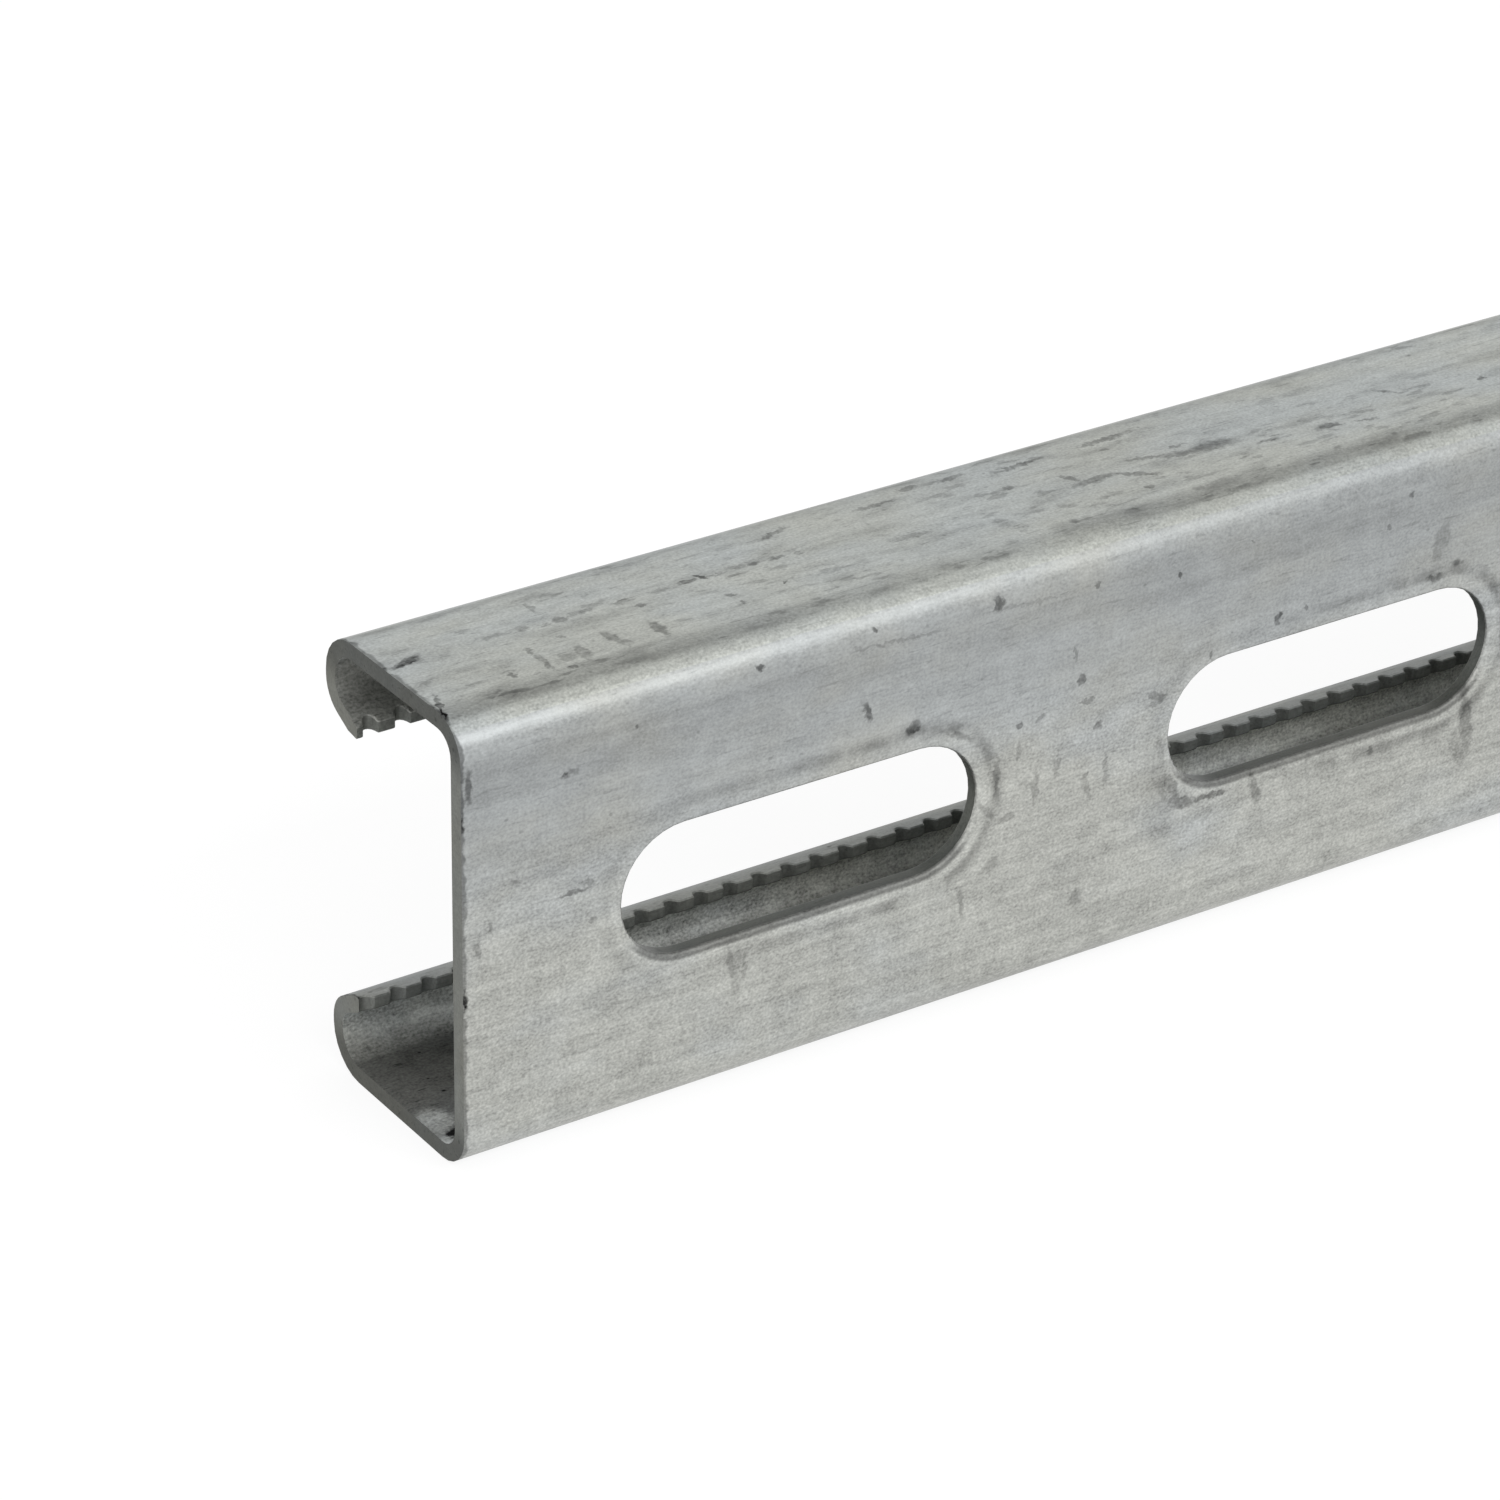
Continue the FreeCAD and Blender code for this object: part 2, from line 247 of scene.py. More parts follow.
@dataclass(frozen=True)
class SlotRow:
    """The round-ended slots punched down the web, in millimetres."""

    length: float = 35.0
    width: float = 12.0
    pitch: float = 55.0
    end_margin: float = 15.0
    count: int = 18
    rolled_rim: float = 0.36
    inner_rim: float = 0.15
    rim_steps: int = 3
    end_steps: int = 18
    overshoot: float = 1.0

    def set_width(self, points: list, centre: Vector, extra: float) -> None:
        """Moves the points of a slot's outline to lie a given way outside its nominal wall.

        Args:
            points: The outline's points.
            centre: The slot's centre.
            extra: How far outside the nominal wall they go.
        """
        half_straight = (self.length - self.width) / 2
        for point in points:
            along = max(-half_straight, min(half_straight, point.co.x - centre.x))
            spine = Vector((centre.x + along, point.co.y, centre.z))
            point.co = spine + (point.co - spine).normalized() * (self.width / 2 + extra)

    def rim_profile(self, section: Section) -> list[tuple[float, float]]:
        """The punch's shape through the wall: a wide rolled rim outside and a small one inside.

        Args:
            section: The section whose web is punched.

        Returns:
            Pairs of the place across the channel and the extra width there.
        """
        angles = [step * math.pi / 2 / self.rim_steps for step in range(self.rim_steps + 1)]
        curve = [(1 - math.cos(angle), 1 - math.sin(angle)) for angle in angles]
        outer, inner = section.outside, section.outside + section.wall
        roll, rim = self.rolled_rim, self.inner_rim
        return ([(outer - self.overshoot, roll)]
                + [(outer + deep * roll, extra * roll) for deep, extra in curve]
                + [(inner - deep * rim, extra * rim) for deep, extra in reversed(curve)]
                + [(inner + self.overshoot, rim)])

    def build_punches(self, section: Section, stock_length: float) -> bpy.types.Object:
        """Makes the solids that cut the slots.

        Args:
            section: The section whose web is punched.
            stock_length: The length of the channel.

        Returns:
            One object that holds every punch.
        """
        mesh = bmesh.new()
        half_straight = (self.length - self.width) / 2
        first_slot = -stock_length / 2 + self.end_margin + self.length / 2
        centre = Vector((first_slot, 0, section.height / 2))
        profile = self.rim_profile(section)
        first = Vector((0, profile[0][0], 0))
        radius = Vector((0, 0, self.width / 2))
        left, right = centre - X_AXIS * half_straight, centre + X_AXIS * half_straight
        walk = OutlineWalk(mesh, left - radius + first)
        walk.straight_to(right - radius + first)
        walk.bend(right + first, -math.pi, self.end_steps, Y_AXIS)
        walk.straight_to(left + radius + first)
        walk.bend(left + first, -math.pi, self.end_steps, Y_AXIS)
        bmesh.ops.remove_doubles(mesh, verts=mesh.verts, dist=MERGE)
        self.set_width(list(mesh.verts), centre, profile[0][1])
        face = bmesh.ops.contextual_create(mesh, geom=mesh.edges[:])["faces"][0]
        for (before, _), (across, extra) in zip(profile, profile[1:]):
            grown = bmesh.ops.extrude_face_region(mesh, geom=[face, *face.edges])
            points = [g for g in grown["geom"] if isinstance(g, bmesh.types.BMVert)]
            face = next(g for g in grown["geom"] if isinstance(g, bmesh.types.BMFace))
            bmesh.ops.translate(mesh, verts=points, vec=Y_AXIS * (across - before))
            self.set_width(points, centre, extra)
        one_punch = mesh.verts[:] + mesh.edges[:] + mesh.faces[:]
        for place in range(1, self.count):
            copy = bmesh.ops.duplicate(mesh, geom=one_punch)
            points = [g for g in copy["geom"] if isinstance(g, bmesh.types.BMVert)]
            bmesh.ops.translate(mesh, verts=points, vec=X_AXIS * self.pitch * place)
        bmesh.ops.recalc_face_normals(mesh, faces=mesh.faces)
        for each in mesh.faces:
            rolled = each.calc_center_median().y < section.outside + self.rolled_rim
            each.material_index = Finish.WEB if rolled else Finish.SLOT_WALL
        return to_object(mesh, "punches")


def to_object(mesh: bmesh.types.BMesh, name: str) -> bpy.types.Object:
    """Puts a finished bmesh into a new object in the scene.

    Args:
        mesh: The bmesh, which is freed.
        name: The object's name.

    Returns:
        The new object.
    """
    data = bpy.data.meshes.new(name)
    mesh.to_mesh(data)
    mesh.free()
    made = bpy.data.objects.new(name, data)
    bpy.context.scene.collection.objects.link(made)
    return made


@dataclass
class StrutChannel:
    """The whole channel: section, toothed lips, slots and cut ends."""

    length: float = 1000.0
    section: Section = field(default_factory=Section)
    teeth: ToothRow = field(default_factory=ToothRow)
    slots: SlotRow = field(default_factory=SlotRow)
    smooth_below: float = math.radians(38.0)
    # An outer face that points this much towards -Y, or more, counts as the web's.
    web_share: float = 0.72
    # Cells of teeth past the stock's length, which the cuts at its ends take off.
    spare_cells: int = 2

    def notch_tip(self, mesh: bmesh.types.BMesh, edges: list, faces: list, shift: float) -> None:
        """Turns the straight tip of one tooth cell into a rounded notch between two lands.

        Args:
            mesh: The cell's mesh.
            edges: The two corner edges of the tip, outer one first.
            faces: The faces that the corner edges border, beside the tip's own face.
            shift: How far past the cell's middle the notch stands.
        """
        stations = self.teeth.stations(shift)
        rows = []
        bmesh.ops.bisect_edges(mesh, edges=edges, cuts=len(stations))
        for face in faces:
            back = self.backward(face)
            new = sorted((v for v in face.verts if self.is_new(v)), key=lambda v: v.co.x)
            for vert, (along, setback) in zip(new, stations):
                vert.co.x = along
                vert.co += back * setback
            rows.append(new)
        for outer, inner in zip(*rows):
            bmesh.ops.connect_vert_pair(mesh, verts=[outer, inner])
        corners = [e for e in mesh.edges if self.is_corner(e, faces)]
        bmesh.ops.bevel(mesh, geom=corners, offset=self.teeth.edge_flat, offset_type="OFFSET",
                        segments=1, profile=0.5, affect="EDGES", clamp_overlap=False,
                        loop_slide=False, material=-1)

    @staticmethod
    def is_new(vert: bmesh.types.BMVert) -> bool:
        """Whether a point was added to the middle of an edge."""
        return len(vert.link_edges) == 2

    @staticmethod
    def is_corner(edge: bmesh.types.BMEdge, faces: list) -> bool:
        """Whether an edge lies between the tip's face and one of the faces beside it.

        Args:
            edge: The edge that is looked at.
            faces: The faces beside the tip's own.

        Returns:
            True on a corner of the tip.
        """
        at_tip = any(face.material_index == Finish.TEETH for face in edge.link_faces)
        beside_tip = sum(face in faces for face in edge.link_faces)
        return at_tip and beside_tip == 1 and len(edge.link_faces) == 2

    @staticmethod
    def backward(face: bmesh.types.BMFace) -> Vector:
        """The way along a face, away from the tip, that moves a point 1 mm across the channel."""
        normal = face.normal
        return Vector((0, 1, -normal.y / normal.z))

    def build_half(self, shift: float) -> bpy.types.Mesh:
        """Makes the lower half of one tooth's length of channel.

        Args:
            shift: How far past the half's own middle the notch stands.

        Returns:
            The half, open at both ends, with its left end at X = 0.
        """
        mesh = bmesh.new()
        drawn = self.section.draw_lower_half(mesh)
        outline = mesh.edges[:]
        tip_edge = next(e for e in outline if set(e.verts) == set(drawn["tip"]))
        grown = bmesh.ops.extrude_edge_only(mesh, edges=outline)
        far = [g for g in grown["geom"] if isinstance(g, bmesh.types.BMVert)]
        bmesh.ops.translate(mesh, verts=far, vec=X_AXIS * self.teeth.pitch)
        for edge in drawn["inner"]:
            edge.link_faces[0].material_index = Finish.INSIDE
        tip_face = tip_edge.link_faces[0]
        tip_face.material_index = Finish.TEETH
        bmesh.ops.recalc_face_normals(mesh, faces=mesh.faces)
        mesh.normal_update()
        for face in mesh.faces:
            if face.material_index == Finish.OUTSIDE and face.normal.y < -self.web_share:
                face.material_index = Finish.WEB
        corner_edges, side_faces = [], []
        for point in drawn["tip"]:
            edge = next(e for e in point.link_edges
                        if tip_face in e.link_faces and e is not tip_edge)
            corner_edges.append(edge)
            side_faces.append(next(f for f in edge.link_faces if f is not tip_face))
        self.notch_tip(mesh, corner_edges, side_faces, shift)
        data = bpy.data.meshes.new("half")
        mesh.to_mesh(data)
        mesh.free()
        return data

    def build_cell(self) -> bpy.types.Object:
        """Makes one tooth's length of channel, both lips and all.

        Returns:
            The cell, open at both ends, with its left end at X = 0.
        """
        mesh = bmesh.new()
        shift = self.teeth.below_middle
        upside_down = (Matrix.Translation(Z_AXIS * self.section.height)
                       @ Matrix.Scale(-1, 4, Z_AXIS))
        for half, turn in ((self.build_half(-shift), Matrix()),
                           (self.build_half(shift), upside_down)):
            half.transform(turn)
            mesh.from_mesh(half)
            bpy.data.meshes.remove(half)
        bmesh.ops.remove_doubles(mesh, verts=mesh.verts, dist=MERGE)
        bmesh.ops.recalc_face_normals(mesh, faces=mesh.faces)
        return to_object(mesh, "cell")

    def build_run(self, cell: bpy.types.Object) -> bpy.types.Object:
        """Repeats the cell past the stock's length and cuts both ends square.

        Args:
            cell: One tooth's length of channel. It is used up.

        Returns:
            The closed channel without its slots.
        """
        pitch = self.teeth.pitch
        row = cell.modifiers.new("Teeth", "ARRAY")
        row.use_relative_offset = False
        row.use_constant_offset = True
        row.constant_offset_displace = (pitch, 0, 0)
        row.use_merge_vertices = True
        row.merge_threshold = MERGE
        row.count = math.ceil(self.length / pitch) + self.spare_cells
        data = evaluated_copy(cell, "channel")
        mesh = bmesh.new()
        mesh.from_mesh(data)
        bpy.data.meshes.remove(data)
        bpy.data.objects.remove(cell)
        # The cell before the near end's first notches starts the row.
        first_middle = self.teeth.first_below + self.teeth.below_middle
        start = -self.length / 2 + first_middle - pitch / 2 - pitch
        bmesh.ops.translate(mesh, verts=mesh.verts, vec=X_AXIS * start)
        for side in (-1, 1):
            everything = mesh.verts[:] + mesh.edges[:] + mesh.faces[:]
            cut = bmesh.ops.bisect_plane(
                mesh, geom=everything, dist=CUT_REACH, plane_co=X_AXIS * side * self.length / 2,
                plane_no=X_AXIS * side, clear_outer=True)
            rim = [g for g in cut["geom_cut"] if isinstance(g, bmesh.types.BMEdge)]
            capped = bmesh.ops.contextual_create(mesh, geom=rim)
            for face in capped["faces"]:
                face.material_index = Finish.CUT_END
        bmesh.ops.recalc_face_normals(mesh, faces=mesh.faces)
        return to_object(mesh, "channel")

    def build(self) -> bpy.types.Object:
        """Makes the channel and puts it in the place of its CAD node.

        Returns:
            The finished channel.
        """
        run = self.build_run(self.build_cell())
        punches = self.slots.build_punches(self.section, self.length)
        for made in (run, punches):
            for finish in Finish:
                made.data.materials.append(blank_material(finish))
        cut = run.modifiers.new("Slots", "BOOLEAN")
        cut.operation = "DIFFERENCE"
        cut.solver = "EXACT"
        cut.object = punches
        data = evaluated_copy(run, "galvanised_channel")
        for used in (run, punches):
            bpy.data.objects.remove(used)
        data.transform(Matrix.Scale(METRE, 4))
        data.shade_smooth()
        data.set_sharp_from_angle(angle=self.smooth_below)
        piece = bpy.data.objects.new("galvanised_channel", data)
        bpy.context.scene.collection.objects.link(piece)
        weigh = piece.modifiers.new("FlatFaces", "WEIGHTED_NORMAL")
        weigh.keep_sharp = True
        return piece


def evaluated_copy(source: bpy.types.Object, name: str) -> bpy.types.Mesh:
    """A new mesh with an object's modifiers applied.

    Args:
        source: The object whose modifiers are applied.
        name: The new mesh's name.

    Returns:
        The new mesh.
    """
    bpy.context.view_layer.update()
    graph = bpy.context.evaluated_depsgraph_get()
    data = bpy.data.meshes.new_from_object(source.evaluated_get(graph), depsgraph=graph)
    data.name = name
    return data


def blank_material(finish: Finish) -> bpy.types.Material:
    """The named material of one finish, made at its first use.

    Args:
        finish: The finish that the material is for.

    Returns:
        The material, without its nodes at first.
    """
    name = finish.name.lower()
    found = bpy.data.materials.get(name)
    return found or bpy.data.materials.new(name)


# Finishes

Value = float | bpy.types.NodeSocket
Triple = tuple[float, float, float]
Colour = tuple[float, float, float, float]

# How far a noise's offset moves it along each axis.
OFFSET_WAY: Triple = (1.0, 1.7, 0.6)
# The middle of what a noise gives.
NOISE_MIDDLE = 0.5
# The most that one part of a screen colour can be.
FULL_BYTE = 255


@dataclass(frozen=True)
class Ramp:
    """A soft slope from one level to another, between two readings of a value."""

    low: float
    high: float
    to_low: float = 0.0
    to_high: float = 1.0


@dataclass(frozen=True)
class Noise:
    """Soft noise with so many features to a millimetre. A stretch below 1 draws it out along
    that axis, and an offset sets two layers apart."""

    scale: float
    detail: float = 2.0
    stretch: Triple = (1, 1, 1)
    offset: float = 0.0
    swirl: float = 0.0


@dataclass(frozen=True)
class Specks:
    """Scattered specks: cells to a millimetre, and the largest radius as a share of a cell."""

    density: float
    size: float
    stretch: Triple = (0.8, 1.0, 1.0)
    # The share of the cells that hold no speck, and of a speck that is its soft edge.
    empty: float = 0.55
    soft: float = 0.7


class Graph:
    """Adds nodes to a material or world and joins them up."""

    def __init__(self, tree: bpy.types.NodeTree) -> None:
        """Empties the tree, ready for new nodes."""
        self.tree = tree
        tree.nodes.clear()

    def add(self, kind: str, **settings: object) -> bpy.types.Node:
        """Adds a node and sets its properties.

        Args:
            kind: The type of the node.
            settings: The properties that it is given.

        Returns:
            The node.
        """
        node = self.tree.nodes.new(kind)
        for name, value in settings.items():
            setattr(node, name, value)
        return node

    def put(self, socket: bpy.types.NodeSocket, value: Value) -> None:
        """Links a socket to another, or sets its own value.

        Args:
            socket: The input that is fed.
            value: The output that feeds it, or a plain value.
        """
        if isinstance(value, bpy.types.NodeSocket):
            self.tree.links.new(value, socket)
        else:
            socket.default_value = value

    def math(self, operation: str, *values: Value) -> bpy.types.NodeSocket:
        """A sum of one or two numbers.

        Args:
            operation: What is done with them.
            values: The numbers.

        Returns:
            The result.
        """
        node = self.add("ShaderNodeMath", operation=operation)
        for socket, value in zip(node.inputs, values):
            self.put(socket, value)
        return node.outputs[0]

    def product(self, *values: Value) -> Value:
        """Several numbers multiplied together.

        Args:
            values: The numbers.

        Returns:
            Their product.
        """
        total = values[0]
        for value in values[1:]:
            total = self.math("MULTIPLY", total, value)
        return total

    def vector(self, operation: str, *values: Value, out: str = "Vector") -> bpy.types.NodeSocket:
        """A sum of one or two vectors.

        Args:
            operation: What is done with them.
            values: The vectors.
            out: Which of the node's outputs is wanted.

        Returns:
            The result.
        """
        node = self.add("ShaderNodeVectorMath", operation=operation)
        for socket, value in zip(node.inputs, values):
            self.put(socket, value)
        return node.outputs[out]

    def remap(self, value: Value, ramp: Ramp) -> bpy.types.NodeSocket:
        """Turns a value into the level that a ramp has there.

        Args:
            value: The reading.
            ramp: The slope that it is looked up on.

        Returns:
            The level.
        """
        node = self.add("ShaderNodeMapRange", interpolation_type="SMOOTHSTEP")
        levels = (value, ramp.low, ramp.high, ramp.to_low, ramp.to_high)
        for socket, each in zip(node.inputs, levels):
            self.put(socket, each)
        return node.outputs[0]

    def noise(self, place: bpy.types.NodeSocket, noise: Noise) -> bpy.types.NodeSocket:
        """Lays a soft noise on the sheet.

        Args:
            place: The position in millimetres.
            noise: The noise that is laid there.

        Returns:
            The noise's value, from 0 to 1.
        """
        moved = self.add("ShaderNodeMapping", vector_type="POINT")
        self.put(moved.inputs["Vector"], place)
        moved.inputs["Scale"].default_value = noise.stretch
        moved.inputs["Location"].default_value = [noise.offset * way for way in OFFSET_WAY]
        node = self.add("ShaderNodeTexNoise")
        self.put(node.inputs["Vector"], moved.outputs[0])
        node.inputs["Scale"].default_value = noise.scale
        node.inputs["Detail"].default_value = noise.detail
        node.inputs["Distortion"].default_value = noise.swirl
        return node.outputs[0]

    def frayed(self, place: bpy.types.NodeSocket, scale: float, detail: float,
               width: float) -> bpy.types.NodeSocket:
        """A position shifted to and fro, so that what is drawn there has ragged edges.

        Args:
            place: The position in millimetres.
            scale: How many shifts there are to a millimetre.
            detail: How much finer shifts are laid on top.
            width: How wide the shifts are, in millimetres.

        Returns:
            The shifted position.
        """
        node = self.add("ShaderNodeTexNoise")
        self.put(node.inputs["Vector"], place)
        node.inputs["Scale"].default_value = scale
        node.inputs["Detail"].default_value = detail
        shift = self.vector("SUBTRACT", node.outputs["Color"], (NOISE_MIDDLE,) * 3)
        return self.vector("ADD", place, self.vector("MULTIPLY", shift, (width,) * 3))

    def specks(self, place: bpy.types.NodeSocket, specks: Specks) -> bpy.types.NodeSocket:
        """Scatters specks over the sheet.

        Args:
            place: The position in millimetres.
            specks: How the specks are spread.

        Returns:
            1 on a speck and 0 off it.
        """
        spread = self.add("ShaderNodeMapping", vector_type="POINT")
        self.put(spread.inputs["Vector"], place)
        spread.inputs["Scale"].default_value = specks.stretch
        cells = self.add("ShaderNodeTexVoronoi", feature="F1")
        self.put(cells.inputs["Vector"], spread.outputs[0])
        cells.inputs["Scale"].default_value = specks.density
        chance = self.split(cells.outputs["Color"])[0]
        radius = self.remap(chance, Ramp(specks.empty, 1.0, 0.0, specks.size))
        inside = self.math("SUBTRACT", radius, cells.outputs["Distance"])
        return self.remap(inside, Ramp(0.0, specks.size * specks.soft))

    def mix(self, share: Value, first: object, second: object,
            blend: str = "MIX") -> bpy.types.NodeSocket:
        """A mix of two colours.

        Args:
            share: How much of the second one there is.
            first: The first colour.
            second: The second colour.
            blend: How the second one is laid over the first.

        Returns:
            The mixed colour.
        """
        node = self.add("ShaderNodeMix", data_type="RGBA", blend_type=blend)
        colour_inputs = [socket for socket in node.inputs if socket.type == "RGBA"]
        self.put(node.inputs["Factor"], share)
        self.put(colour_inputs[0], first)
        self.put(colour_inputs[1], second)
        return next(socket for socket in node.outputs if socket.type == "RGBA")

    def grey(self, level: Value) -> bpy.types.NodeSocket:
        """A number as a grey colour.

        Args:
            level: The number.

        Returns:
            The colour.
        """
        node = self.add("ShaderNodeCombineXYZ")
        for socket in node.inputs:
            self.put(socket, level)
        return node.outputs[0]

    def millimetres(self) -> bpy.types.NodeSocket:
        """The position on the object, in millimetres."""
        place = self.add("ShaderNodeTexCoord")
        return self.vector("MULTIPLY", place.outputs["Object"], (1 / METRE,) * 3)

    def split(self, vector: bpy.types.NodeSocket) -> tuple[bpy.types.NodeSocket, ...]:
        """A vector's three parts.

        Args:
            vector: The vector.

        Returns:
            Its parts along X, Y and Z.
        """
        node = self.add("ShaderNodeSeparateXYZ")
        self.put(node.inputs[0], vector)
        return tuple(node.outputs)


def srgb(red: float, green: float, blue: float) -> Colour:
    """A screen colour as the linear colour that a shader takes.

    Args:
        red: The red part, from 0 to 255.
        green: The green part.
        blue: The blue part.

    Returns:
        The linear colour.
    """
    screen = Color((red, green, blue)) / FULL_BYTE
    return (*screen.from_srgb_to_scene_linear(), 1.0)


@dataclass(frozen=True)
class Mark:
    """A mark on one face, darker than the metal or, below 0, paler. Places are from the near
    end and the lower web edge or the channel's middle line, in millimetres. Length and width
    are half of the mark's, and the tilt is in degrees."""

    face: Face
    along: float
    across: float
    long: float
    wide: float
    tilt: float = 0.0
    dark: float = 0.3

    # How far a mark reaches into the sheet and out of it.
    DEPTH: ClassVar[float] = 1.5

    def placing(self) -> tuple[Triple, Triple, Triple]:
        """Where the mark is on the channel.

        Returns:
            Its centre, its turn about each axis and its half sizes.
        """
        along = self.along - StrutChannel.length / 2
        turn = math.radians(self.tilt)
        if self.face is Face.WEB:
            return ((along, Section().outside, self.across), (0, -turn, 0),
                    (self.long, self.DEPTH, self.wide))
        level = Section.height if self.face is Face.TOP else Section.wall
        return (along, self.across, level), (0, 0, turn), (self.long, self.wide, self.DEPTH)


